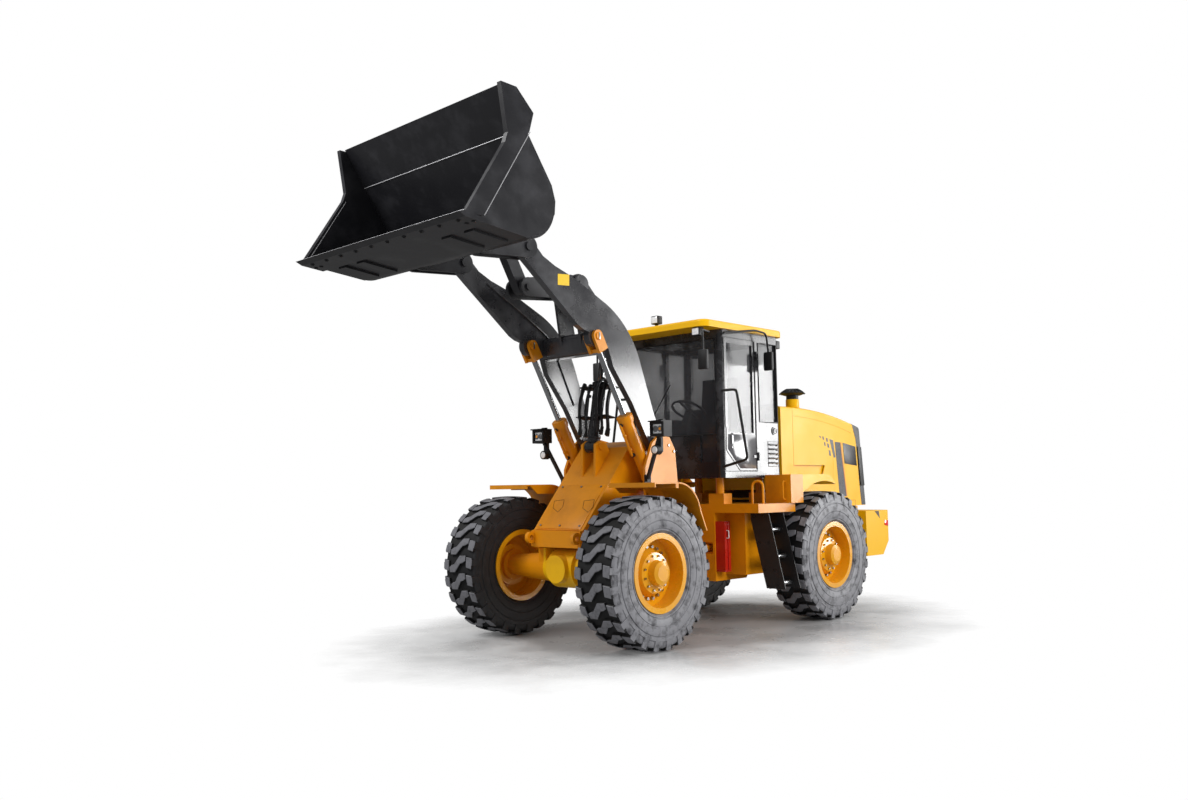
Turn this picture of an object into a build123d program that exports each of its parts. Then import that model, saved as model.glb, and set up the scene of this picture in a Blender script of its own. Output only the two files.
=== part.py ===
from build123d import *
from math import cos, sin, radians, atan2, degrees, hypot
import os

# Wheel loader with an articulated frame, a Z-bar arm and a general purpose bucket.
# Millimetres: +X is forward, +Y is left and +Z is up, with the ground at z = 0.

# Running gear
wheelbase = 2900
track = 1830
tyre_radius = 690
tyre_width = 450
tread_width = 400
tread_pitches = 20
groove_depth = 32
groove_width = 46
groove_slant = 124
bead_radius = 318
flange_radius = 355
rim_width = 400
rim_wall = 12

trunnion_radius = 120
hanger_x = 270

# The steering pivot lies midway between the axles
pivot_x = -330
front_axle_x = wheelbase / 2
rear_axle_x = -wheelbase / 2
axle_z = tyre_radius
running_gap = 0.5
seat_gap = 0.3
clearance = 6

# Pins of the arm, as x and z from the steering pivot
boom_pin = (730, 1860)
bucket_pin = (2450, 3580)
lift_base_pin = (790, 1450)
lift_rod_pin = (1588, 2865)
tilt_base_pin = (1151, 1855)
tilt_rod_pin = (930, 3050)
bellcrank_pin = (1420, 3433)
link_pin = (2085, 3325)
bucket_link_pin = (2310, 3716)

# Arm
arm_y = 450
arm_plate = 70
boom_pin_radius = 48
bucket_pin_radius = 40
cross_box_centre = (1330, 2850)
cross_box_width = 215
cross_box_round = 55
bellcrank_gap = 160
bellcrank_plate = 32
link_width = 90

# Cylinders
lift_barrel_radius = 62
lift_rod_radius = 28
tilt_barrel_radius = 62
tilt_rod_radius = 35
steer_barrel_radius = 38
steer_rod_radius = 20
steer_base = (-450, 270)
steer_eye = (280, 250)
steer_z = 800
steer_barrel_length = 430
steer_rod_start = 235
lift_barrel_length = 793
tilt_barrel_length = 660
lift_rod_start = 725
tilt_rod_start = 550

# Frames
plate = 30
inner_tower_y = 335
outer_tower_y = 532
rear_frame_y = 400
yoke_radius = 110
yoke_pin_radius = 42
upper_yoke_z = 1130
lower_yoke_z = 520
lug_thickness = 60

rung_radius = 20

# Cab
cab_front_x = -100
cab_rear_x = -1160
cab_half_width = 650
cab_floor_z = 1535
cab_top_z = 3085
cab_wall = 45
door_front_x = -150
door_rear_x = -715
door_foot_z = 1600
quarter_sill_z = 2130
door_head_z = 3010
door_hinge = (-715, 665)
door_hinge_z = (1760, 2850)
roof_overhang = 320

# Hood and counterweight
hood_front_x = -1500
hood_rear_x = -2990
hood_half_width = 590
hood_foot_z = 1190
hood_front_z = 2334
hood_rear_z = 2150
hood_crown_z = 2285
hood_edge = 32
slat_count = 12
hood_wall = 12
hood_hinge = (-3060, 1160)
rear_end_x = -3090
counterweight_front_x = -2570
counterweight_half_width = 865
tow_pin_x = -3020
tow_plate_z = (750, 800)
tow_pin_radius = 24
deck_z = 1262
rear_arch_radius = 800
fender_sheet = 12

# Bucket
bucket_half_width = 1150
bucket_shell = 16
bucket_arc_centre = (3028, 3759)
bucket_arc_radius = 305
cutting_tip = (3752, 3528)
skid_width = 110

side = Plane(origin=(pivot_x, 0, 0), x_dir=(1, 0, 0), z_dir=(0, -1, 0))
top = Plane(origin=(pivot_x, 0, 0), x_dir=(1, 0, 0), z_dir=(0, 0, 1))
front = Plane(origin=(pivot_x, 0, 0), x_dir=(0, 1, 0), z_dir=(1, 0, 0))


def side_plate(points, y_outer, thickness, mode=Mode.ADD):
    """A flat plate cut to an outline of x and z, whose left face lies at y_outer."""
    with BuildSketch(side.offset(-y_outer), mode=Mode.PRIVATE) as outline:
        with BuildLine():
            Polyline(*points, close=True)
        make_face()
    extrude(outline.sketch, amount=thickness, mode=mode)


def pin_boss(centre, radius, y_outer, length, mode=Mode.ADD):
    """A round boss across the machine, whose left face lies at y_outer."""
    with BuildSketch(side.offset(-y_outer), mode=Mode.PRIVATE) as outline:
        with Locations(centre):
            Circle(radius)
    extrude(outline.sketch, amount=length, mode=mode)


def block(x_range, y_range, z_range, mode=Mode.ADD):
    """A square block between two limits on each axis, with x from the steering pivot."""
    with Locations((pivot_x + x_range[0], y_range[0], z_range[0])):
        Box(
            x_range[1] - x_range[0],
            y_range[1] - y_range[0],
            z_range[1] - z_range[0],
            align=(Align.MIN, Align.MIN, Align.MIN),
            mode=mode,
        )


def along(start, end, y):
    """A plane at a pin whose z axis points along a cylinder to its other pin."""
    return Plane(
        origin=(pivot_x + start[0], y, start[1]),
        x_dir=(0, 1, 0),
        z_dir=(end[0] - start[0], 0, end[1] - start[1]),
    )


def distance(a, b):
    return hypot(b[0] - a[0], b[1] - a[1])


finished = []

# Wheels: the tyre's section is out to the tips of its lugs
bead_half = rim_width / 2 - rim_wall - seat_gap
tyre_section = [
    (bead_half, flange_radius + 8),
    (tyre_width / 2, 500),
    (tyre_width / 2 - 16, 645),
    (tread_width / 2 - 18, tyre_radius),
]
rim_half = rim_width / 2
hub_radius = 205
disc_y = 20
disc_thickness = 24
rim_section = [
    (bead_radius - rim_wall, -rim_half),
    (flange_radius, -rim_half),
    (flange_radius, -rim_half + rim_wall),
    (bead_radius, -rim_half + rim_wall),
    (bead_radius, rim_half - rim_wall),
    (flange_radius, rim_half - rim_wall),
    (flange_radius, rim_half),
    (bead_radius - rim_wall, rim_half),
    (bead_radius - rim_wall, disc_y + disc_thickness),
    (hub_radius + 20, disc_y + disc_thickness),
    (hub_radius, disc_y + 60),
    (hub_radius - 25, disc_y + 110),
    (115, disc_y + 122),
    (105, disc_y + 190),
    (70, disc_y + 205),
    (0, disc_y + 205),
    (0, disc_y - 60),
    (hub_radius, disc_y - 60),
    (hub_radius, disc_y),
    (bead_radius - rim_wall, disc_y),
]
wheel_places = {
    "front_left": (front_axle_x, 1),
    "front_right": (front_axle_x, -1),
    "rear_left": (rear_axle_x, 1),
    "rear_right": (rear_axle_x, -1),
}
for place, (axle_x, hand) in wheel_places.items():
    wheel_plane = Plane(
        origin=(pivot_x + axle_x, hand * track / 2, axle_z),
        x_dir=(1, 0, 0),
        z_dir=(0, hand, 0),
    )
    section_plane = Plane(
        origin=wheel_plane.origin, x_dir=wheel_plane.x_dir, z_dir=wheel_plane.y_dir * -1
    )
    # the carcass has one flat for each pitch of the tread, and a groove from each shoulder
    with BuildPart() as tyre:
        for across, reach in [(-y, r) for y, r in tyre_section] + tyre_section[::-1]:
            with BuildSketch(wheel_plane.offset(across)):
                RegularPolygon(reach, tread_pitches, major_radius=False, rotation=90 - 180 / tread_pitches)
        loft(ruled=True)
        with Locations(wheel_plane.location):
            Cylinder(bead_radius + seat_gap, tyre_width, mode=Mode.SUBTRACT)
        crown = Plane(
            origin=wheel_plane.origin + wheel_plane.y_dir * (tyre_radius + 10),
            x_dir=wheel_plane.x_dir,
            z_dir=wheel_plane.y_dir * -1,
        )
        shoulder = tyre_width / 2 + 10
        for flip, shift in ((1, 0), (-1, 180 / tread_pitches)):
            with BuildSketch(crown, mode=Mode.PRIVATE) as groove:
                with BuildLine():
                    Polyline(
                        (flip * (-groove_slant / 2 - groove_width / 2), -flip * 8),
                        (flip * (-groove_slant / 2 + groove_width / 2), -flip * 8),
                        (flip * (groove_slant / 2 + groove_width / 2), flip * shoulder),
                        (flip * (groove_slant / 2 - groove_width / 2), flip * shoulder),
                        close=True,
                    )
                make_face()
            cutter = extrude(groove.sketch, amount=groove_depth + 10, mode=Mode.PRIVATE)
            turns = [
                cutter.rotate(Axis(wheel_plane.origin, wheel_plane.z_dir), shift + k * 360 / tread_pitches)
                for k in range(tread_pitches)
            ]
            add(turns, mode=Mode.SUBTRACT)
    tyre.part.label = f"tyre_{place}"
    finished.append(tyre.part)
    with BuildPart() as rim:
        with BuildSketch(section_plane):
            with BuildLine():
                Polyline(*rim_section, close=True)
            make_face()
        revolve(axis=Axis(wheel_plane.origin, wheel_plane.z_dir))
    rim.part.label = f"rim_{place}"
    finished.append(rim.part)

# Axles: a round differential with tapered arms out to the wheel hubs
hub_inner_y = track / 2 + disc_y - 60 - running_gap
for name, axle_x, facing in (("front_axle", front_axle_x, 1), ("rear_axle", rear_axle_x, -1)):
    with BuildPart() as axle:
        with BuildSketch(Plane.XZ.offset(-hub_inner_y)):
            with Locations((pivot_x + axle_x, axle_z)):
                Circle(150)
        extrude(amount=40)
        with BuildSketch(Plane.XZ.offset(-hub_inner_y + 40)):
            with Locations((pivot_x + axle_x, axle_z)):
                Circle(105)
        with BuildSketch(Plane.XZ.offset(-160)):
            with Locations((pivot_x + axle_x, axle_z)):
                Circle(150)
        loft()
        mirror(about=Plane.XZ)
        with Locations(Location((pivot_x + axle_x, 0, axle_z), (90, 0, 0))):
            Cylinder(190, 330)
        with Locations(Location((pivot_x + axle_x + facing * 190, 0, axle_z), (0, 90, 0))):
            Cylinder(130, 90)
        with Locations(Location((pivot_x + axle_x - facing * 240, 0, axle_z), (0, 90, 0))):
            Cylinder(85, 160)
        if facing == 1:
            for y in (-inner_tower_y + 45, inner_tower_y - 45):
                with Locations((pivot_x + axle_x, y, axle_z + 95)):
                    Box(260, 100, 190)
        else:
            with Locations(Location((pivot_x + axle_x, 0, axle_z), (0, 90, 0))):
                Cylinder(trunnion_radius, 2 * hanger_x + 80)
    axle.part.label = name
    finished.append(axle.part)

# Front frame
axle_pad_z = axle_z + 190 + seat_gap
lug_reach = 260
with BuildPart() as front_frame:
    tower = [
        (lug_reach - 20, 455),
        (lug_reach - 20, 1215),
        (430, 1500),
        (600, 1925),
        (800, 1960),
        (985, 1850),
        (1640, 1060),
        (1680, 1050),
        (1680, 900),
        (1600, axle_pad_z),
        (1200, axle_pad_z),
        (1010, 720),
        (700, 455),
    ]
    side_plate(tower, inner_tower_y, plate)
    outer = [
        (520, 1420),
        (560, 1820),
        (640, 1940),
        (800, 1955),
        (900, 1880),
        (1010, 1640),
        (1010, 1420),
        (980, 1230),
        (640, 1230),
    ]
    side_plate(outer, outer_tower_y + plate, plate)
    # spacers that carry the outer plate, behind the arm and below the cylinder
    side_plate([(505, 1400), (545, 1760), (600, 1760), (570, 1400)], outer_tower_y, outer_tower_y - inner_tower_y)
    side_plate([(660, 1230), (960, 1230), (960, 1270), (660, 1270)], outer_tower_y + plate, outer_tower_y + plate - inner_tower_y)
    mirror(about=Plane.XZ)
    inner_width = 2 * (inner_tower_y - plate)
    # sloping nose plate, rear bulkhead and belly plate
    side_plate([(985, 1850), (1640, 1060), (1622, 1045), (967, 1835)], inner_tower_y - plate, inner_width)
    side_plate([(lug_reach - 20, 455), (lug_reach - 20, 1215), (lug_reach + 10, 1215), (lug_reach + 10, 455)], inner_tower_y - plate, inner_width)
    side_plate([(600, 1890), (640, 1920), (985, 1850), (967, 1835)], inner_tower_y - plate, inner_width)
    side_plate([(1560, 895), (1560, 1055), (1680, 1055), (1680, 895)], inner_tower_y - plate, inner_width)
    side_plate([(lug_reach, 455), (lug_reach, 485), (700, 485), (700, 455)], inner_tower_y - plate, inner_width)
    steer_window = (steer_z - 90, steer_z + 90)
    block((lug_reach - 21, lug_reach + 11), (-inner_tower_y + plate, inner_tower_y - plate), steer_window, mode=Mode.SUBTRACT)
    block((lug_reach - 20, lug_reach + 10), (-120, 120), steer_window)
    for hand in (1, -1):
        for low in (steer_z + 31, steer_z - 51):
            y_range = sorted((hand * 195, hand * (inner_tower_y - plate)))
            block((lug_reach - 20, 350), y_range, (low, low + 20))
        y_range = sorted((hand * (inner_tower_y - plate - 1), hand * (inner_tower_y + 1)))
        block((lug_reach - 21, 358), y_range, (steer_z - 30, steer_z + 30), mode=Mode.SUBTRACT)
        with Locations((pivot_x + steer_eye[0], hand * steer_eye[1], steer_z)):
            for lift in (56, -56):
                with Locations((0, 0, lift)):
                    Cylinder(24, 12)
    # boom pins, lift cylinder pins and steering lugs
    for y in (arm_y, -arm_y):
        pin_boss(boom_pin, boom_pin_radius, y + 115, 230)
        pin_boss(lift_base_pin, 32, y + 115, 230)
    for z in (upper_yoke_z, lower_yoke_z):
        with BuildSketch(top.offset(z - lug_thickness / 2)):
            with BuildLine():
                Polyline((lug_reach, -170), (lug_reach, 170), (0, yoke_radius), (0, -yoke_radius), close=True)
            make_face()
            Circle(yoke_radius)
            Circle(yoke_pin_radius + 1, mode=Mode.SUBTRACT)
        extrude(amount=lug_thickness)
    # ribs that hold the tilt cylinder
    for y in (tilt_barrel_radius + 40, -tilt_barrel_radius - 12):
        rib = [(1010, 1800), (1060, 1880), (1151, 1915), (1215, 1880), (1225, 1560)]
        side_plate(rib, y, 28)
    pin_boss(tilt_base_pin, 30, tilt_barrel_radius + 60, 2 * tilt_barrel_radius + 120)
    # towing lugs on the nose
    for y in (inner_tower_y - 5, -inner_tower_y + 45):
        with BuildSketch(side.offset(-y)):
            with Locations((1715, 985)):
                Circle(55)
                Circle(24, mode=Mode.SUBTRACT)
        extrude(amount=40)
front_frame.part.label = "front_frame"
finished.append(front_frame.part)

# Front fenders
fender_inner_y = outer_tower_y + plate + seat_gap
fender_outer_y = 1130
with BuildPart() as front_fenders:
    with BuildSketch(side.offset(-fender_outer_y)):
        with BuildLine() as fender_line:
            top_edge = Line((1530, 1486), (1200, 1486))
            curve = TangentArc((1200, 1486), (890, 1230), tangent=(-1, 0))
            Line((890, 1230), (800, 1040))
        trace(line_width=14)
    extrude(amount=fender_outer_y - fender_inner_y)
    side_plate([(1530, 1492), (1530, 1450), (1518, 1450), (1518, 1480)], fender_outer_y, fender_outer_y - fender_inner_y)
    side_plate([(1100, 1480), (1480, 1480), (1380, 1400), (1160, 1400)], fender_inner_y + 12, 12)
    side_plate([(1200, 1480), (1240, 1480), (1240, 1440), (1200, 1440)], fender_outer_y, fender_outer_y - fender_inner_y)
    mirror(about=Plane.XZ)
front_fenders.part.label = "front_fenders"
finished.append(front_fenders.part)

# Head lamps on slanted brackets
with BuildPart() as head_lamps:
    block((1010, 1130), (735, 905), (1925, 2075))
    block((1098, 1131), (752, 888), (1942, 2050), mode=Mode.SUBTRACT)
    block((1090, 1104), (760, 880), (1950, 2042))
    block((1129, 1160), (735, 905), (2063, 2075))
    with Locations(Location((pivot_x + 1075, 770, 1800), (0, 90, 0))):
        Cylinder(45, 66)
    block((1030, 1060), (755, 810), (1780, 1925))
    block((1030, 1060), (780, 840), (2075, 2090))
    lamp_foot = (pivot_x + 1000, outer_tower_y + plate + seat_gap + 20, 1530)
    lamp_seat = (pivot_x + 1065, 800, 1935)
    bar = Plane(origin=lamp_foot, z_dir=[b - a for a, b in zip(lamp_foot, lamp_seat)])
    with BuildSketch(bar):
        Rectangle(30, 30)
    extrude(amount=hypot(*[b - a for a, b in zip(lamp_foot, lamp_seat)]))
    foot_y = outer_tower_y + plate + seat_gap
    block((940, 1030), (foot_y, foot_y + 10), (1490, 1570))
    block((985, 1020), (foot_y + 5, foot_y + 35), (1505, 1550))
    mirror(about=Plane.XZ)
head_lamps.part.label = "head_lamps"
finished.append(head_lamps.part)

# Boom: two plate arms, a cross tube and the bellcrank's bracket
with BuildPart() as boom:
    for y in (arm_y + arm_plate / 2, -arm_y + arm_plate / 2):
        with BuildSketch(side.offset(-y)):
            with BuildLine():
                lower = Polyline(
                    (2480, 3482),
                    (1817, 2952),
                    (1748, 2917),
                    (1480, 2850),
                    (1410, 2755),
                    (1353, 2597),
                    (1088, 2259),
                    (820, 1815),
                )
                heel = Polyline((820, 1815), (640, 1905), (776, 2160), (959, 2640))
                back = ThreePointArc((959, 2640), (1142, 2960), (1430, 3185))
                upper = Polyline((1430, 3185), (1843, 3376), (2103, 3460), (2250, 3530), (2400, 3670), (2480, 3482))
            make_face()
            with Locations(bucket_pin):
                Circle(100)
            with Locations(boom_pin):
                Circle(100)
            with Locations(lift_rod_pin):
                Circle(95)
            with Locations(boom_pin):
                Circle(boom_pin_radius + running_gap, mode=Mode.SUBTRACT)
            with Locations(bucket_pin):
                Circle(bucket_pin_radius + running_gap, mode=Mode.SUBTRACT)
        extrude(amount=arm_plate)
    with BuildSketch(side.offset(-arm_y)):
        with Locations(cross_box_centre):
            RectangleRounded(cross_box_width, cross_box_width, cross_box_round)
    extrude(amount=2 * arm_y)
    for y in (bellcrank_gap / 2 + bellcrank_plate + 8 + 30, -bellcrank_gap / 2 - bellcrank_plate - 8):
        with BuildSketch(side.offset(-y)):
            with BuildLine():
                Polyline((1230, 2850), (1360, 3420), (1540, 3420), (1440, 2850), close=True)
            make_face()
            with Locations(bellcrank_pin):
                Circle(90)
        extrude(amount=30)
    pin_boss(bellcrank_pin, 40, bellcrank_gap / 2 + bellcrank_plate + 45, bellcrank_gap + 2 * bellcrank_plate + 90)
boom.part.label = "boom"
finished.append(boom.part)

# Bellcrank: twin plates with a hub between them
with BuildPart() as bellcrank:
    for y in (bellcrank_gap / 2 + bellcrank_plate, -bellcrank_gap / 2):
        with BuildSketch(side.offset(-y)):
            with BuildLine():
                Polyline((960, 3130), (1360, 3510), (1540, 3515), (2085, 3415), (2085, 3235), (1500, 3290), (1380, 3290), (1010, 2990), close=True)
            make_face()
            for centre, radius in ((tilt_rod_pin, 85), (link_pin, 92), (bellcrank_pin, 105)):
                with Locations(centre):
                    Circle(radius)
            with Locations(bellcrank_pin):
                Circle(41, mode=Mode.SUBTRACT)
        extrude(amount=bellcrank_plate)
    with BuildSketch(side.offset(-bellcrank_gap / 2)):
        with Locations(bellcrank_pin):
            Circle(75)
            Circle(41, mode=Mode.SUBTRACT)
    extrude(amount=bellcrank_gap)
    pin_boss(link_pin, 34, bellcrank_gap / 2 + bellcrank_plate + 12, bellcrank_gap + 2 * bellcrank_plate + 24)
bellcrank.part.label = "bellcrank"
finished.append(bellcrank.part)

# Link between the bellcrank and the bucket
link_angle = degrees(atan2(bucket_link_pin[1] - link_pin[1], bucket_link_pin[0] - link_pin[0]))
link_length = distance(link_pin, bucket_link_pin)
with BuildPart() as tilt_link:
    with BuildSketch(side.offset(-link_width / 2)):
        middle = ((link_pin[0] + bucket_link_pin[0]) / 2, (link_pin[1] + bucket_link_pin[1]) / 2)
        with Locations(Location(middle, link_angle)):
            SlotCenterToCenter(link_length, 130)
        with Locations(link_pin, bucket_link_pin):
            Circle(35, mode=Mode.SUBTRACT)
    extrude(amount=link_width)
tilt_link.part.label = "tilt_link"
finished.append(tilt_link.part)

# Bucket: rolled wrapper, end plates, side straps, spill guard and hinge brackets
cx, cz = bucket_arc_centre
shell = bucket_shell
inner_half = bucket_half_width - 20
with BuildPart() as bucket:
    with BuildSketch(side.offset(-inner_half)):
        with BuildLine():
            Polyline((3490, 3500), (cx + 30, 3455))
            ThreePointArc((cx + 30, 3455), (2735, 3679), (2772, 3925))
            Polyline((2772, 3925), (3050, 4335), (3270, 4660))
        trace(line_width=shell)
    extrude(amount=2 * inner_half)
    end_plate = [
        (3690, 3530),
        (3290, 4165),
        (3262, 4250),
        (3330, 4645),
        (3165, 4640),
        (2985, 4470),
        (3030, 4310),
        (2765, 3925),
        (2726, 3800),
        (2735, 3690),
        (2790, 3590),
        (2880, 3500),
        (3040, 3446),
        (3480, 3490),
    ]
    side_plate(end_plate, bucket_half_width, 20)
    side_plate(end_plate, -bucket_half_width + 20, 20)
    strap = [(3690, 3540), (3290, 4165), (3262, 4250), (3330, 4645), (3165, 4640), (2985, 4470), (3030, 4310), (3520, 3530)]
    side_plate(strap, bucket_half_width + 28, 28)
    side_plate(strap, -bucket_half_width, 28)
    for y in (560, 850):
        for left_face in (y + skid_width, -y):
            side_plate([(3440, 3488), (3080, 3450.5), (3080, 3432), (3440, 3469)], left_face, skid_width)
    edge = [cutting_tip, (3700, 3548), (3470, 3515), (3470, 3478), (3690, 3500)]
    side_plate(edge, bucket_half_width + 28, 2 * bucket_half_width + 56)
    shell_arc = [
        (cx + bucket_arc_radius * cos(radians(a)), cz + bucket_arc_radius * sin(radians(a)))
        for a in range(160, 271, 10)
    ]
    bracket = [(2450, 3680)] + shell_arc[:] + [(2950, 3440), (2450, 3480)]
    bracket_gap = arm_plate + 2 * clearance
    for y in (arm_y, -arm_y):
        for left_face in (y + bracket_gap / 2 + 30, y - bracket_gap / 2):
            side_plate(bracket, left_face, 30)
            pin_boss(bucket_pin, 100, left_face, 30)
        pin_boss(bucket_pin, bucket_pin_radius, y + bracket_gap / 2 + 45, bracket_gap + 90)
    link_bracket = [(2325, 3900), (2760, 3990), (2800, 3960)] + shell_arc[:4] + [(2325, 3745)]
    for left_face in (link_width / 2 + clearance + 30, -link_width / 2 - clearance):
        side_plate(link_bracket, left_face, 30)
        pin_boss(bucket_link_pin, 80, left_face, 30)
bucket.part.label = "bucket"
finished.append(bucket.part)

# Lift cylinders: the rod's fork straddles the arm
fork_gap = arm_plate + 2 * clearance
fork_plate = 32
fork_reach = 150
lift_length = distance(lift_base_pin, lift_rod_pin)
for name, y in (("left", arm_y), ("right", -arm_y)):
    base_plane = along(lift_base_pin, lift_rod_pin, y)
    rod_plane = along(lift_rod_pin, lift_base_pin, y)
    with BuildPart() as barrel:
        with BuildSketch(base_plane.offset(45)):
            Circle(lift_barrel_radius)
        extrude(amount=lift_barrel_length - 45)
        with BuildSketch(base_plane.offset(lift_barrel_length - 80)):
            Circle(lift_barrel_radius + 10)
        extrude(amount=80)
        pin_boss(lift_base_pin, 62, y + 50, 100)
        with BuildSketch(base_plane.offset(90)):
            Circle(lift_rod_radius + running_gap)
        extrude(amount=lift_barrel_length, mode=Mode.SUBTRACT)
        pin_boss(lift_base_pin, 33, y + 50, 100, mode=Mode.SUBTRACT)
    barrel.part.label = f"lift_barrel_{name}"
    finished.append(barrel.part)
    with BuildPart() as rod:
        with BuildSketch(rod_plane.offset(fork_reach)):
            Circle(lift_rod_radius)
        extrude(amount=lift_length - fork_reach - lift_rod_start)
        with BuildSketch(rod_plane.offset(fork_reach - 35)):
            Rectangle(fork_gap + 2 * fork_plate, 84)
        extrude(amount=35)
        for left_face in (y + fork_gap / 2 + fork_plate, y - fork_gap / 2):
            with BuildSketch(side.offset(-left_face)):
                reach = fork_reach
                slope = atan2(lift_base_pin[1] - lift_rod_pin[1], lift_base_pin[0] - lift_rod_pin[0])
                tail = (lift_rod_pin[0] + reach * cos(slope), lift_rod_pin[1] + reach * sin(slope))
                with Locations(Location(((lift_rod_pin[0] + tail[0]) / 2, (lift_rod_pin[1] + tail[1]) / 2), degrees(slope))):
                    Rectangle(reach, 120)
                with Locations(lift_rod_pin):
                    Circle(60)
            extrude(amount=fork_plate)
        for left_face in (y + fork_gap / 2 + fork_plate + 12, y - fork_gap / 2 - fork_plate):
            pin_boss(lift_rod_pin, 36, left_face, 12)
    rod.part.label = f"lift_rod_{name}"
    finished.append(rod.part)

# Tilt cylinder: its rod's eye lies between the bellcrank's plates
tilt_length = distance(tilt_base_pin, tilt_rod_pin)
with BuildPart() as tilt_barrel:
    tilt_plane = along(tilt_base_pin, tilt_rod_pin, 0)
    with BuildSketch(tilt_plane.offset(40)):
        Circle(tilt_barrel_radius)
    extrude(amount=tilt_barrel_length - 40)
    pin_boss(tilt_base_pin, 58, tilt_barrel_radius, 2 * tilt_barrel_radius)
    with BuildSketch(tilt_plane.offset(80)):
        Circle(tilt_rod_radius + running_gap)
    extrude(amount=tilt_barrel_length, mode=Mode.SUBTRACT)
    pin_boss(tilt_base_pin, 31, tilt_barrel_radius, 2 * tilt_barrel_radius, mode=Mode.SUBTRACT)
tilt_barrel.part.label = "tilt_barrel"
finished.append(tilt_barrel.part)
with BuildPart() as tilt_rod:
    eye_plane = along(tilt_rod_pin, tilt_base_pin, 0)
    with BuildSketch(eye_plane.offset(40)):
        Circle(tilt_rod_radius)
    extrude(amount=tilt_length - 40 - tilt_rod_start)
    with BuildSketch(side.offset(-55)):
        with Locations(tilt_rod_pin):
            Circle(68)
            Circle(35, mode=Mode.SUBTRACT)
    extrude(amount=110)
tilt_rod.part.label = "tilt_rod"
finished.append(tilt_rod.part)

# Steering cylinders, low on both sides of the pivot
steer_length = distance(steer_base, steer_eye)
for name, hand in (("left", 1), ("right", -1)):
    heading = Plane(
        origin=(pivot_x + steer_base[0], hand * steer_base[1], steer_z),
        x_dir=(0, 0, 1),
        z_dir=(steer_eye[0] - steer_base[0], hand * (steer_eye[1] - steer_base[1]), 0),
    )
    with BuildPart() as steer_barrel:
        with BuildSketch(heading.offset(30)):
            Circle(steer_barrel_radius)
        extrude(amount=steer_barrel_length - 30)
        with BuildSketch(Plane.XY.offset(steer_z - 30)):
            with Locations((pivot_x + steer_base[0], hand * steer_base[1])):
                Circle(42)
        extrude(amount=60)
        with BuildSketch(heading.offset(60)):
            Circle(steer_rod_radius + running_gap)
        extrude(amount=steer_barrel_length, mode=Mode.SUBTRACT)
        with Locations((pivot_x + steer_base[0], hand * steer_base[1], steer_z)):
            Cylinder(21, 100, mode=Mode.SUBTRACT)
    steer_barrel.part.label = f"steer_barrel_{name}"
    finished.append(steer_barrel.part)
    with BuildPart() as steer_rod:
        with BuildSketch(heading.offset(steer_rod_start)):
            Circle(steer_rod_radius)
        extrude(amount=steer_length - steer_rod_start - 25)
        with BuildSketch(Plane.XY.offset(steer_z - 26)):
            with Locations((pivot_x + steer_eye[0], hand * steer_eye[1])):
                Circle(40)
                Circle(21, mode=Mode.SUBTRACT)
        extrude(amount=52)
    steer_rod.part.label = f"steer_rod_{name}"
    finished.append(steer_rod.part)

# Rear frame
yoke_x = -260
with BuildPart() as rear_frame:
    rail = [
        (yoke_x, 455),
        (yoke_x, 1215),
        (counterweight_front_x + seat_gap, 1215),
        (counterweight_front_x + seat_gap, 700),
        (-1850, 800),
        (-1750, 900),
        (-1150, 900),
        (-1000, 700),
        (-800, 455),
    ]
    side_plate(rail, rear_frame_y, plate)
    mirror(about=Plane.XZ)
    rear_inner = rear_frame_y - plate
    block((yoke_x - 30, yoke_x), (-rear_inner, rear_inner), (455, 1215))
    for hand in (1, -1):
        y_range = sorted((hand * 150, hand * rear_inner))
        block((yoke_x - 31, yoke_x + 1), y_range, (steer_z - 60, steer_z + 60), mode=Mode.SUBTRACT)
    block((-700, yoke_x), (-rear_inner, rear_inner), (455, 485))
    for low in (steer_z + 44, steer_z - 69):
        block((-520, yoke_x - 30), (-rear_inner, rear_inner), (low, low + 25))
    block((counterweight_front_x + 1, counterweight_front_x + 41), (-rear_inner, rear_inner), (720, 1215))
    for x in (rear_axle_x + hanger_x, rear_axle_x - hanger_x):
        block((x - 30, x + 30), (-rear_inner, rear_inner), (900, 1000))
        block((x - 30, x + 30), (-190, 190), (540, 900))
        with Locations(Location((pivot_x + x, 0, axle_z), (0, 90, 0))):
            Cylinder(trunnion_radius + seat_gap, 62, mode=Mode.SUBTRACT)
    block((-2300, -2200), (-rear_inner, rear_inner), (900, 1000))
    # deck under the cab, with its mounts
    block((-1240, yoke_x), (-rear_frame_y, rear_frame_y), (1215, deck_z))
    for x, y in ((-330, 430), (-1050, 430)):
        block((x - 70, x + 70), (y - 100, y + 100), (deck_z, deck_z + 110))
        block((x - 70, x + 70), (-y - 100, -y + 100), (deck_z, deck_z + 110))
        for hand in (1, -1):
            with Locations((pivot_x + x, hand * y, (deck_z + 110 + cab_floor_z - seat_gap) / 2)):
                Cylinder(45, cab_floor_z - deck_z - 110 - seat_gap)
    # steering yoke and its pins
    for z in (upper_yoke_z, lower_yoke_z):
        for low in (z + lug_thickness / 2 + clearance, z - lug_thickness / 2 - clearance - 35):
            with BuildSketch(top.offset(low)):
                with BuildLine():
                    Polyline((yoke_x, -180), (yoke_x, 180), (0, yoke_radius), (0, -yoke_radius), close=True)
                make_face()
                Circle(yoke_radius)
            extrude(amount=35)
        with Locations((pivot_x, 0, z)):
            Cylinder(yoke_pin_radius, lug_thickness + 2 * clearance + 70)
    # steering cylinder pins
    for hand in (1, -1):
        with Locations((pivot_x + steer_base[0], hand * steer_base[1], steer_z)):
            Cylinder(20, 90)
rear_frame.part.label = "rear_frame"
finished.append(rear_frame.part)

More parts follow.
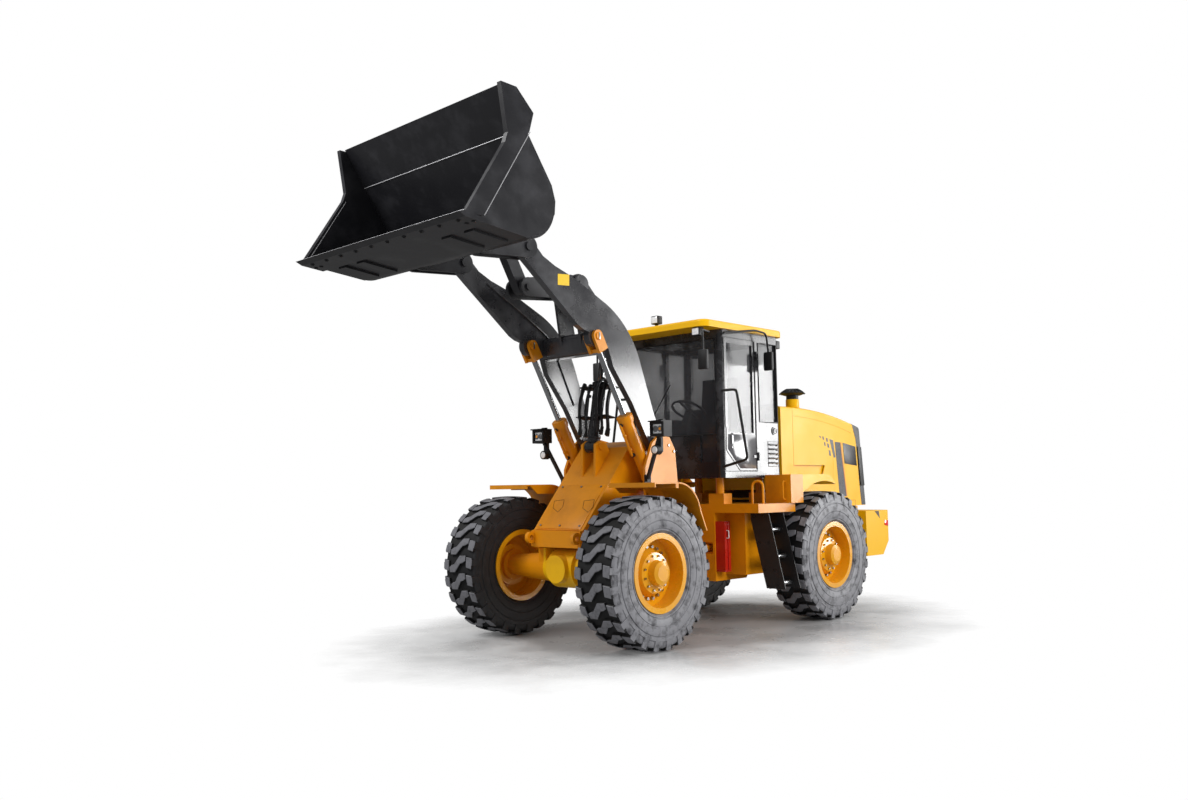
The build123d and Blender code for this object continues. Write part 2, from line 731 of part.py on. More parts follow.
# Decks either side of the cab, with their fascias
deck_outer_y = 965
with BuildPart() as side_decks:
    block((-930, yoke_x), (rear_frame_y + seat_gap, deck_outer_y), (1240, deck_z - seat_gap))
    block((yoke_x - 12, yoke_x), (rear_frame_y + seat_gap, deck_outer_y), (1170, 1240))
    block((-930, yoke_x), (deck_outer_y - 12, deck_outer_y), (1170, 1240))
    with BuildLine():
        loop = FilletPolyline(
            (pivot_x - 420, 780, deck_z - 2), (pivot_x - 420, 780, 1495), (pivot_x - 420, 915, 1495), (pivot_x - 420, 915, deck_z - 2),
            radius=60,
        )
    with BuildSketch(Plane(origin=loop @ 0, z_dir=loop % 0)):
        Circle(13)
    sweep()
    mirror(about=Plane.XZ)
side_decks.part.label = "side_decks"
finished.append(side_decks.part)

# Tanks under the decks
with BuildPart() as side_tanks:
    block((-800, -440), (rear_frame_y + seat_gap, 660), (520, 1160))
    block((-800, -440), (rear_frame_y + seat_gap, 640), (1160, 1239.7))
    mirror(about=Plane.XZ)
side_tanks.part.label = "side_tanks"
finished.append(side_tanks.part)

# Steps and rails
with BuildPart() as steps:
    for x in (-470, -735):
        with BuildSketch(front.offset(x)):
            with BuildLine():
                Polyline((720, 1239.7), (945, 1169), (1130, 395), (900, 395), (720, 1100), close=True)
            make_face()
        extrude(amount=10)
    for z, y in ((990, 900), (718, 965), (450, 1020)):
        with Locations(Location((pivot_x - (470 + 725) / 2, y, z), (0, 90, 0))):
            Cylinder(rung_radius, 255)
        block((-727, -468), (y - 95, y - 85), (z - 60, z + 60))
    with BuildLine():
        grab = FilletPolyline(
            (pivot_x + cab_front_x - 20, cab_half_width - 1.2, 2440),
            (pivot_x + cab_front_x - 20, 830, 2440),
            (pivot_x + cab_front_x - 20, 950, 1720),
            (pivot_x + cab_front_x - 20, cab_half_width - 1.2, 1650),
            radius=45,
        )
    with BuildSketch(Plane(origin=grab @ 0, z_dir=grab % 0)):
        Circle(14)
    sweep()
    mirror(about=Plane.XZ)
steps.part.label = "steps_and_rails"
finished.append(steps.part)

# Tool boxes on the decks
with BuildPart() as tool_boxes:
    block((-1030, -800), (680, 1005), (deck_z + seat_gap, 1562))
    with BuildLine():
        pull = FilletPolyline(
            (pivot_x - 801, 930, 1300), (pivot_x - 762, 930, 1300), (pivot_x - 762, 930, 1490), (pivot_x - 801, 930, 1490),
            radius=20,
        )
    with BuildSketch(Plane(origin=pull @ 0, z_dir=pull % 0)):
        Circle(8)
    sweep()
    mirror(about=Plane.XZ)
tool_boxes.part.label = "tool_boxes"
finished.append(tool_boxes.part)

# Rear fenders: a side skin, a top plate and an arched sheet over each rear wheel
fender_front_x = -1030 - seat_gap
with BuildPart() as rear_fenders:
    skin_y = 1005
    skirt = [(fender_front_x, 1300), (fender_front_x, 1562), (-1560, 1562), (-1690, 1470), (-1690, 1300)]
    with BuildSketch(side.offset(-skin_y), mode=Mode.PRIVATE) as arch_side:
        with BuildLine():
            Polyline(*skirt, close=True)
        make_face()
        with Locations((rear_axle_x, axle_z)):
            Circle(rear_arch_radius, mode=Mode.SUBTRACT)
    extrude(arch_side.sketch, amount=fender_sheet)
    with BuildSketch(side.offset(-skin_y), mode=Mode.PRIVATE) as arch_sheet:
        with Locations((rear_axle_x, axle_z)):
            Circle(rear_arch_radius + fender_sheet)
            Circle(rear_arch_radius, mode=Mode.SUBTRACT)
        with BuildLine():
            Polyline(*skirt, close=True)
        make_face(mode=Mode.INTERSECT)
    extrude(arch_sheet.sketch, amount=skin_y - hood_half_width - clearance)
    inner_y = hood_half_width + clearance
    block((-1560, fender_front_x), (inner_y, skin_y), (1562 - fender_sheet, 1562))
    block((fender_front_x - fender_sheet, fender_front_x), (inner_y, skin_y), (1400, 1562))
    block(
        (cab_rear_x - clearance, fender_front_x + 1),
        (inner_y - 1, cab_half_width + clearance),
        (1300, 1563),
        mode=Mode.SUBTRACT,
    )
    mirror(about=Plane.XZ)
rear_fenders.part.label = "rear_fenders"
finished.append(rear_fenders.part)

# Steering lock bar, stowed on the left
with BuildPart() as lock_bar:
    block((-370, -272), (rear_frame_y + seat_gap, 520), (575, 1080))
lock_bar.part.label = "lock_bar"
finished.append(lock_bar.part)

# Engine
with BuildPart() as engine:
    block((-2480, -1560), (-rear_inner + 20, rear_inner - 20), (1000 + seat_gap, 1850))
engine.part.label = "engine_block"
finished.append(engine.part)

# Counterweight
with BuildPart() as counterweight:
    outline = [
        (counterweight_front_x, 1130),
        (rear_end_x, 1130),
        (rear_end_x, 760),
        (rear_end_x + 140, 600),
        (counterweight_front_x, 600),
    ]
    side_plate(outline, counterweight_half_width, 2 * counterweight_half_width)
    drawbar_x = (rear_end_x - 1, rear_end_x + 170)
    block(drawbar_x, (-110, 110), (tow_plate_z[1], 960), mode=Mode.SUBTRACT)
    block(drawbar_x, (-110, 110), (599, tow_plate_z[0]), mode=Mode.SUBTRACT)
    with Locations((pivot_x + tow_pin_x, 0, sum(tow_plate_z) / 2)):
        Cylinder(tow_pin_radius, 100, mode=Mode.SUBTRACT)
    for y in (400, -400):
        for left_face in (y + 60, y - 40):
            block((hood_hinge[0] - 25, hood_hinge[0] + 25), (left_face - 20, left_face), (1129, hood_hinge[1] + 20))
        pin_boss(hood_hinge, 11, y + 50, 100)
counterweight.part.label = "counterweight"
finished.append(counterweight.part)

# Fixed panel between the cab and the hood
hood_gap = 6
with BuildPart() as hood_bulkhead:
    with BuildSketch(front.offset(hood_front_x + hood_gap)):
        with Locations((0, (hood_foot_z + hood_front_z) / 2)):
            Rectangle(2 * hood_half_width, hood_front_z - hood_foot_z)
        fillet(vertices().group_by(Axis.Z)[-1], hood_edge)
        with Locations((0, (hood_foot_z + hood_front_z) / 2 - 100)):
            Rectangle(2 * hood_half_width - 160, hood_front_z - hood_foot_z - 200 + 200, mode=Mode.SUBTRACT)
    extrude(amount=-hood_front_x - 1260 - hood_gap)
    block((-1300, -1260), (-hood_half_width + 70, hood_half_width - 70), (1400, hood_front_z - 100))
    block((hood_front_x + hood_gap, -1260), (-rear_frame_y, -rear_inner), (1215.3, 1300))
    block((hood_front_x + hood_gap, -1260), (rear_inner, rear_frame_y), (1215.3, 1300))
    block((hood_front_x + hood_gap, -1260), (-hood_half_width, hood_half_width), (1290, 1310))
hood_bulkhead.part.label = "hood_bulkhead"
finished.append(hood_bulkhead.part)

grille_half_width = 450
grille_bars = 14
# Hood: one lid that tips back on its lower rear edge
with BuildPart() as hood:
    for inset, mode in ((0, Mode.ADD), (hood_wall, Mode.SUBTRACT)):
        front_x = hood_front_x + (10 if inset else 0)
        foot_z = hood_foot_z - (10 if inset else 0)
        with BuildSketch(side.offset(-hood_half_width + inset), mode=Mode.PRIVATE) as outline:
            with BuildLine():
                ThreePointArc(
                    (front_x, hood_front_z - inset),
                    ((front_x + hood_rear_x) / 2, hood_crown_z - inset),
                    (hood_rear_x + 40 + inset, hood_rear_z - inset),
                )
                Polyline(
                    (hood_rear_x + 40 + inset, hood_rear_z - inset),
                    (hood_rear_x - 60 + inset, foot_z),
                    (front_x, foot_z),
                    (front_x, hood_front_z - inset),
                )
            make_face()
        extrude(outline.sketch, amount=2 * (hood_half_width - inset), mode=mode)
        if not inset:
            fillet(hood.faces().sort_by(Axis.Z)[-1].edges().filter_by(lambda e: abs(e.tangent_at(0.5).Y) < 0.1), hood_edge)
    # recess above the rear fender and the side inlets, each backed by a panel inside
    for hand in (1, -1):
        skin = sorted((hand * (hood_half_width - hood_wall - 1), hand * (hood_half_width + 1)))
        backing = hand * (hood_half_width - 30)
        recess = [(hood_front_x + 1, 1572), (hood_front_x + 1, 1674), (-2150, 1674), (-2105, 1572)]
        side_plate(recess, skin[1], skin[1] - skin[0], mode=Mode.SUBTRACT)
        side_plate([(hood_front_x, 1560), (hood_front_x, 1686), (-2165, 1686), (-2110, 1560)], backing + 4, 8)
        for low in (1560, 1674):
            y_range = sorted((backing, hand * (hood_half_width - 1)))
            block((-2100, hood_front_x), y_range, (low, low + 12))
        slot = [(-2393, 1953), (-2552, 1953), (-2509, 1310), (-2351, 1310)]
        side_plate(slot, skin[1], skin[1] - skin[0], mode=Mode.SUBTRACT)
        for k in range(slat_count):
            low = 1318 + k * (1945 - 1318) / slat_count
            shift = (low - 1310) * 42 / 643
            y_range = sorted((hand * (hood_half_width - hood_wall), hand * (hood_half_width - 2)))
            block((-2510 - shift, -2350 - shift), y_range, (low, low + 22))
    for y in (400, -400):
        pin_boss(hood_hinge, 20, y + 35, 70)
        block((hood_hinge[0], hood_hinge[0] + 20), (y - 35, y + 35), (hood_hinge[1], 1196))
        pin_boss(hood_hinge, 11 + running_gap, y + 36, 72, mode=Mode.SUBTRACT)
    # opening of the rear grille and the collar of the air intake
    block((-3100, -2900), (-grille_half_width, grille_half_width), (1290, 2080), mode=Mode.SUBTRACT)
    with Locations((pivot_x - 1690, 470, 2315)):
        Cylinder(85, 40)
hood.part.label = "hood_shell"
finished.append(hood.part)

# Rear grille, lamps and the air intake on the hood
with BuildPart() as rear_grille:
    side_plate([(-2956, 2079.7), (-2950, 2079.7), (-3029, 1290.3), (-3035, 1290.3)], grille_half_width - seat_gap, 2 * (grille_half_width - seat_gap))
    for k in range(grille_bars):
        low = 1330 + k * (2060 - 1330) / grille_bars
        lean = (2079.7 - low) * 79 / 789.4
        bar = [(-2950 - lean, low), (-2974 - lean, low), (-2974 - lean, low + 16), (-2950 - lean, low + 24)]
        side_plate(bar, grille_half_width - seat_gap - 4, 2 * (grille_half_width - seat_gap - 4))
rear_grille.part.label = "rear_grille"
finished.append(rear_grille.part)
lamp_z = (1650, 1900)
with BuildPart() as tail_lamps:
    low_x, high_x = (
        hood_rear_x + 40 - seat_gap - 100 * (hood_rear_z - z) / (hood_rear_z - hood_foot_z) for z in lamp_z
    )
    for y in (460, -560):
        lamp = [(high_x - 24, lamp_z[1]), (high_x, lamp_z[1]), (low_x, lamp_z[0]), (low_x - 24, lamp_z[0])]
        side_plate(lamp, y + 100, 100)
tail_lamps.part.label = "tail_lamps"
finished.append(tail_lamps.part)
with BuildPart() as pre_cleaner:
    with Locations((pivot_x - 1690, 470, 2335.3 + 75)):
        Cylinder(70, 150)
    with Locations((pivot_x - 1690, 470, 2493)):
        Cone(95, 150, 24)
    with Locations((pivot_x - 1690, 470, 2530)):
        Cone(150, 62, 50)
pre_cleaner.part.label = "pre_cleaner"
finished.append(pre_cleaner.part)

# Cab shell with its windows and doorway cut
with BuildPart() as cab:
    block((cab_rear_x, cab_front_x), (-cab_half_width, cab_half_width), (cab_floor_z, cab_top_z))
    fillet(cab.edges().filter_by(Axis.Z), 50)
    block(
        (cab_rear_x + cab_wall, cab_front_x - cab_wall),
        (-cab_half_width + cab_wall, cab_half_width - cab_wall),
        (cab_floor_z + cab_wall, cab_top_z - cab_wall),
        mode=Mode.SUBTRACT,
    )
    block((cab_front_x - 2 * cab_wall, cab_front_x + 50), (-580, 580), (1990, 3000), mode=Mode.SUBTRACT)
    for y in (470, -470):
        block((cab_front_x - 2 * cab_wall, cab_front_x + 50), (y - 110, y + 110), (1700, 2000), mode=Mode.SUBTRACT)
    block((door_rear_x, door_front_x), (400, 800), (door_foot_z, door_head_z), mode=Mode.SUBTRACT)
    block((-1110, -765), (400, 800), (quarter_sill_z, 3000), mode=Mode.SUBTRACT)
    block((-1110, -765), (-800, -400), (quarter_sill_z, 3000), mode=Mode.SUBTRACT)
    block((-715, -150), (-800, -400), (1700, 3000), mode=Mode.SUBTRACT)
    block((cab_rear_x - 50, cab_rear_x + 2 * cab_wall), (-560, 560), (2350, 3000), mode=Mode.SUBTRACT)
    for hand in (1, -1):
        y_range = sorted((hand * (cab_half_width - 15), hand * (cab_half_width + 1)))
        for k in range(5):
            block((-1095, -930), y_range, (1675 + 50 * k, 1700 + 50 * k), mode=Mode.SUBTRACT)
        with Locations(Location((pivot_x - 1040, hand * (cab_half_width + 4), 2045), (90, 0, 0))):
            Cylinder(45, 12)
    for z in door_hinge_z:
        for low in (z - 45, z + 15):
            block((door_hinge[0] - 25, door_hinge[0] + 4), (cab_half_width, door_hinge[1] + 14), (low, low + 30))
        with Locations((pivot_x + door_hinge[0], door_hinge[1], z)):
            Cylinder(7, 60)
cab.part.label = "cab_shell"
finished.append(cab.part)

glass = 8
with BuildPart() as cab_glass:
    block((cab_front_x - 26, cab_front_x - 26 + glass), (-579.7, 579.7), (1990.3, 2999.7))
    for y in (470, -470):
        block((cab_front_x - 26, cab_front_x - 26 + glass), (y - 109.7, y + 109.7), (1700.3, 1990.3))
    for y in (cab_half_width - 26, -cab_half_width + 18):
        block((-1109.7, -765.3), (y, y + glass), (quarter_sill_z + seat_gap, 2999.7))
    block((-714.7, -150.3), (-cab_half_width + 18, -cab_half_width + 18 + glass), (1700.3, 2999.7))
    block((cab_rear_x + 18, cab_rear_x + 18 + glass), (-559.7, 559.7), (2350.3, 2999.7))
cab_glass.part.label = "cab_glass"
finished.append(cab_glass.part)

with BuildPart() as roof:
    block((cab_rear_x - 40, cab_front_x + roof_overhang), (-cab_half_width - 50, cab_half_width + 50), (cab_top_z + seat_gap, cab_top_z + 75))
    fillet(roof.edges().filter_by(Axis.Z), 90)
    fillet(roof.faces().sort_by(Axis.Z)[-1].edges(), 25)
roof.part.label = "cab_roof"
finished.append(roof.part)

# Left door, hinged on its rear edge
door_gap = 5
door_thickness = 40
with BuildPart() as door:
    frame_x = (door_rear_x + door_gap, door_front_x - door_gap)
    frame_z = (door_foot_z + door_gap, door_head_z - door_gap)
    block(frame_x, (cab_half_width - door_thickness, cab_half_width), frame_z)
    block((frame_x[0] + 50, frame_x[1] - 50), (500, 700), (2010, frame_z[1] - 50), mode=Mode.SUBTRACT)
    block((-290, -225), (cab_half_width - 14, cab_half_width + 1), (1865, 2000), mode=Mode.SUBTRACT)
    block((-275, -240), (cab_half_width - 16, cab_half_width + 12), (1885, 1980))
    block((-640, -420), (cab_half_width - 6, cab_half_width + 1), (1700, 1960), mode=Mode.SUBTRACT)
    for z in door_hinge_z:
        block((door_hinge[0] + 3, door_hinge[0] + 70), (cab_half_width - 1, cab_half_width + 9), (z - 14.5, z + 14.5))
        with Locations((pivot_x + door_hinge[0], door_hinge[1], z)):
            Cylinder(13, 29)
            Cylinder(7 + running_gap, 29, mode=Mode.SUBTRACT)
door.part.label = "cab_door"
finished.append(door.part)
with BuildPart() as door_glass:
    block(
        (frame_x[0] + 50.3, frame_x[1] - 50.3),
        (cab_half_width - 24, cab_half_width - 24 + glass),
        (2010.3, frame_z[1] - 50.3),
    )
door_glass.part.label = "door_glass"
finished.append(door_glass.part)

# Operator's seat and controls
inside_z = cab_floor_z + cab_wall
with BuildPart() as seat:
    block((-930, -480), (-230, 230), (inside_z + 330, inside_z + 450))
    side_plate([(-950, inside_z + 440), (-830, inside_z + 440), (-900, inside_z + 1080), (-990, inside_z + 1080)], 215, 430)
    block((-860, -540), (-160, 160), (inside_z + seat_gap, inside_z + 330))
seat.part.label = "operator_seat"
finished.append(seat.part)
with BuildPart() as controls:
    block((-330, -150), (-140, 140), (inside_z + seat_gap, inside_z + 520))
    side_plate([(-330, inside_z + 500), (-250, inside_z + 500), (-350, inside_z + 690), (-380, inside_z + 690)], 40, 80)
    with Locations(Location((pivot_x - 370, 0, inside_z + 700), (0, -30, 0))):
        Torus(190, 14)
        Cylinder(30, 40)
        Box(360, 30, 16)
    block((-900, -500), (-480, -340), (inside_z + seat_gap, inside_z + 620))
controls.part.label = "cab_controls"
finished.append(controls.part)

os.makedirs("parts", exist_ok=True)
for piece in finished:
    export_step(piece, f"parts/{piece.label}.step")
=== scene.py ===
import bpy
import bmesh
import math
from mathutils import Matrix, Vector


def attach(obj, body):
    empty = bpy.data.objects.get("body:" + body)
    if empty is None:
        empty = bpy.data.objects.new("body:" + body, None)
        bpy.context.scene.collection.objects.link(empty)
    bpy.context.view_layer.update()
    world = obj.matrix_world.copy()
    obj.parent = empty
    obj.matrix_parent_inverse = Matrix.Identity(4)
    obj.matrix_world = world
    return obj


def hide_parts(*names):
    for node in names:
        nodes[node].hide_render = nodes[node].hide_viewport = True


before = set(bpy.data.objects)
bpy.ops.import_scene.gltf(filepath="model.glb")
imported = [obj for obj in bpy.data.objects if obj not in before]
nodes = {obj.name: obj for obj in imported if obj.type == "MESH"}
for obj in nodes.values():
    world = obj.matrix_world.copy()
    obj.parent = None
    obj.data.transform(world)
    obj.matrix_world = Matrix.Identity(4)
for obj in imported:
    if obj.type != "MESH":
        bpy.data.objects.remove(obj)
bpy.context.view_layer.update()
print("frame loaded")

pivotX = -0.330    # the steering pivot, from which the part's lengths are measured

machine = {
    "wheelX": 1.450,
    "wheelY": 0.915,
    "wheelZ": 0.690,
    "armY": 0.450,
}


# Node groups that several finishes share

def newGroup(name, inputs, outputs):
    tree = bpy.data.node_groups.new(name, "ShaderNodeTree")
    for label, kind, value in inputs:
        socket = tree.interface.new_socket(label, in_out="INPUT", socket_type=kind)
        socket.default_value = value
    for label, kind in outputs:
        tree.interface.new_socket(label, in_out="OUTPUT", socket_type=kind)
    start = tree.nodes.new("NodeGroupInput")
    end = tree.nodes.new("NodeGroupOutput")
    return tree, start, end


def link(tree, fromSocket, toSocket):
    tree.links.new(fromSocket, toSocket)


def noiseNode(tree, coords, scale, detail, rough):
    node = tree.nodes.new("ShaderNodeTexNoise")
    node.inputs["Detail"].default_value = detail
    node.inputs["Roughness"].default_value = rough
    link(tree, coords, node.inputs["Vector"])
    if isinstance(scale, (int, float)):
        node.inputs["Scale"].default_value = scale
    else:
        link(tree, scale, node.inputs["Scale"])
    return node.outputs["Fac"]


def rangeNode(tree, value, low, high, newLow, newHigh):
    node = tree.nodes.new("ShaderNodeMapRange")
    link(tree, value, node.inputs["Value"])
    for label, number in (("From Min", low), ("From Max", high), ("To Min", newLow), ("To Max", newHigh)):
        if isinstance(number, (int, float)):
            node.inputs[label].default_value = number
        else:
            link(tree, number, node.inputs[label])
    return node.outputs["Result"]


def mixColours(tree, factor, first, second, blend="MIX"):
    node = tree.nodes.new("ShaderNodeMix")
    node.data_type = "RGBA"
    node.blend_type = blend
    for socket, value in ((node.inputs[0], factor), (node.inputs[6], first), (node.inputs[7], second)):
        if isinstance(value, (int, float)):
            socket.default_value = value
        elif isinstance(value, tuple):
            socket.default_value = value
        else:
            link(tree, value, socket)
    return node.outputs[2]


def mathNode(tree, operation, first, second):
    node = tree.nodes.new("ShaderNodeMath")
    node.operation = operation
    for socket, value in zip(node.inputs, (first, second)):
        if isinstance(value, (int, float)):
            socket.default_value = value
        elif value is not None:
            link(tree, value, socket)
    return node.outputs[0]


def objectCoords(tree):
    return tree.nodes.new("ShaderNodeTexCoord").outputs["Object"]


def makeWearGroup():    # broad mottling, fine grime and dust that settles on upper faces
    tree, start, end = newGroup(
        "wearAndDust",
        [
            ("Colour", "NodeSocketColor", (0.5, 0.5, 0.5, 1)),
            ("Grime", "NodeSocketColor", (0.1, 0.08, 0.06, 1)),
            ("Dust", "NodeSocketColor", (0.5, 0.47, 0.42, 1)),
            ("Scale", "NodeSocketFloat", 3.0),
            ("Grime Amount", "NodeSocketFloat", 0.3),
            ("Dust Amount", "NodeSocketFloat", 0.2),
            ("Gloss", "NodeSocketFloat", 0.35),
        ],
        [("Colour", "NodeSocketColor"), ("Roughness", "NodeSocketFloat"), ("Height", "NodeSocketFloat")],
    )
    coords = objectCoords(tree)
    broad = noiseNode(tree, coords, start.outputs["Scale"], 6, 0.62)
    fine = noiseNode(tree, coords, 55, 4, 0.6)
    normal = tree.nodes.new("ShaderNodeNewGeometry").outputs["Normal"]
    split = tree.nodes.new("ShaderNodeSeparateXYZ")
    link(tree, normal, split.inputs[0])
    up = rangeNode(tree, split.outputs["Z"], 0.2, 1.0, 0.0, 1.0)
    grimeMask = rangeNode(tree, broad, 0.48, 0.72, 0.0, start.outputs["Grime Amount"])
    dustLevel = mathNode(tree, "MULTIPLY", up, start.outputs["Dust Amount"])
    dustMask = mathNode(tree, "MULTIPLY", dustLevel, rangeNode(tree, fine, 0.35, 0.65, 0.4, 1.0))
    dirty = mixColours(tree, grimeMask, start.outputs["Colour"], start.outputs["Grime"])
    link(tree, mixColours(tree, dustMask, dirty, start.outputs["Dust"]), end.inputs["Colour"])
    uneven = rangeNode(tree, broad, 0.3, 0.7, -0.06, 0.14)
    link(tree, mathNode(tree, "ADD", start.outputs["Gloss"], uneven), end.inputs["Roughness"])
    link(tree, fine, end.inputs["Height"])
    return tree


wearGroup = makeWearGroup()


def newMaterial(name):
    material = bpy.data.materials.new(name)
    material.use_nodes = True
    shader = material.node_tree.nodes["Principled BSDF"]
    return material, material.node_tree, shader


def grimeOf(look):    # grime is a darker shade of the paint where no colour is given
    return (*look.get("grime", [c * 0.35 for c in look["colour"]]), 1)


def wornFinish(name, look, other=None, makeMask=None):    # a mask sets where the other look begins
    material, tree, shader = newMaterial(name)
    wear = tree.nodes.new("ShaderNodeGroup")
    wear.node_tree = wearGroup
    wear.inputs["Colour"].default_value = (*look["colour"], 1)
    wear.inputs["Grime"].default_value = grimeOf(look)
    wear.inputs["Dust"].default_value = (*look.get("dust", (0.42, 0.38, 0.33)), 1)
    wear.inputs["Scale"].default_value = look.get("scale", 2.5)
    wear.inputs["Grime Amount"].default_value = look.get("grimeAmount", 0.25)
    wear.inputs["Dust Amount"].default_value = look.get("dustAmount", 0.12)
    wear.inputs["Gloss"].default_value = look.get("gloss", 0.35)
    link(tree, wear.outputs["Colour"], shader.inputs["Base Color"])
    link(tree, wear.outputs["Roughness"], shader.inputs["Roughness"])
    bump = tree.nodes.new("ShaderNodeBump")
    bump.inputs["Strength"].default_value = look.get("bump", 0.04)
    bump.inputs["Distance"].default_value = 0.002
    link(tree, wear.outputs["Height"], bump.inputs["Height"])
    link(tree, bump.outputs["Normal"], shader.inputs["Normal"])
    shader.inputs["Metallic"].default_value = look.get("metallic", 0.0)
    shader.inputs["Coat Weight"].default_value = look.get("coat", 0.0)
    shader.inputs["Specular IOR Level"].default_value = look.get("specular", 0.5)
    shader.inputs["Coat Roughness"].default_value = look.get("coatRoughness", 0.12)
    if other:
        mask = makeMask(tree)
        link(tree, mixColours(tree, mask, (*look["colour"], 1), (*other["colour"], 1)), wear.inputs["Colour"])
        link(tree, mixColours(tree, mask, grimeOf(look), grimeOf(other)), wear.inputs["Grime"])
        shared = ((wear.inputs["Gloss"], "gloss", 0.35), (shader.inputs["Metallic"], "metallic", 0),
                  (shader.inputs["Coat Weight"], "coat", 0))
        for socket, key, usual in shared:
            low, high = float(look.get(key, usual)), float(other.get(key, usual))
            link(tree, rangeNode(tree, mask, 0.0, 1.0, low, high), socket)
    return material


def pastPoint(point, heading, reach):    # 1 on a rod's fork, which lies less than reach along a heading
    def makeMask(tree):
        coords = objectCoords(tree)
        offset = tree.nodes.new("ShaderNodeVectorMath")
        offset.operation = "SUBTRACT"
        link(tree, coords, offset.inputs[0])
        offset.inputs[1].default_value = point
        along = tree.nodes.new("ShaderNodeVectorMath")
        along.operation = "DOT_PRODUCT"
        link(tree, offset.outputs[0], along.inputs[0])
        along.inputs[1].default_value = heading
        return mathNode(tree, "LESS_THAN", along.outputs["Value"], reach)
    return makeMask


def nearMiddle(width):    # 1 within a width either side of the machine's middle
    def makeMask(tree):
        split = tree.nodes.new("ShaderNodeSeparateXYZ")
        link(tree, objectCoords(tree), split.inputs[0])
        return mathNode(tree, "LESS_THAN", mathNode(tree, "ABSOLUTE", split.outputs["Y"], None), width)
    return makeMask


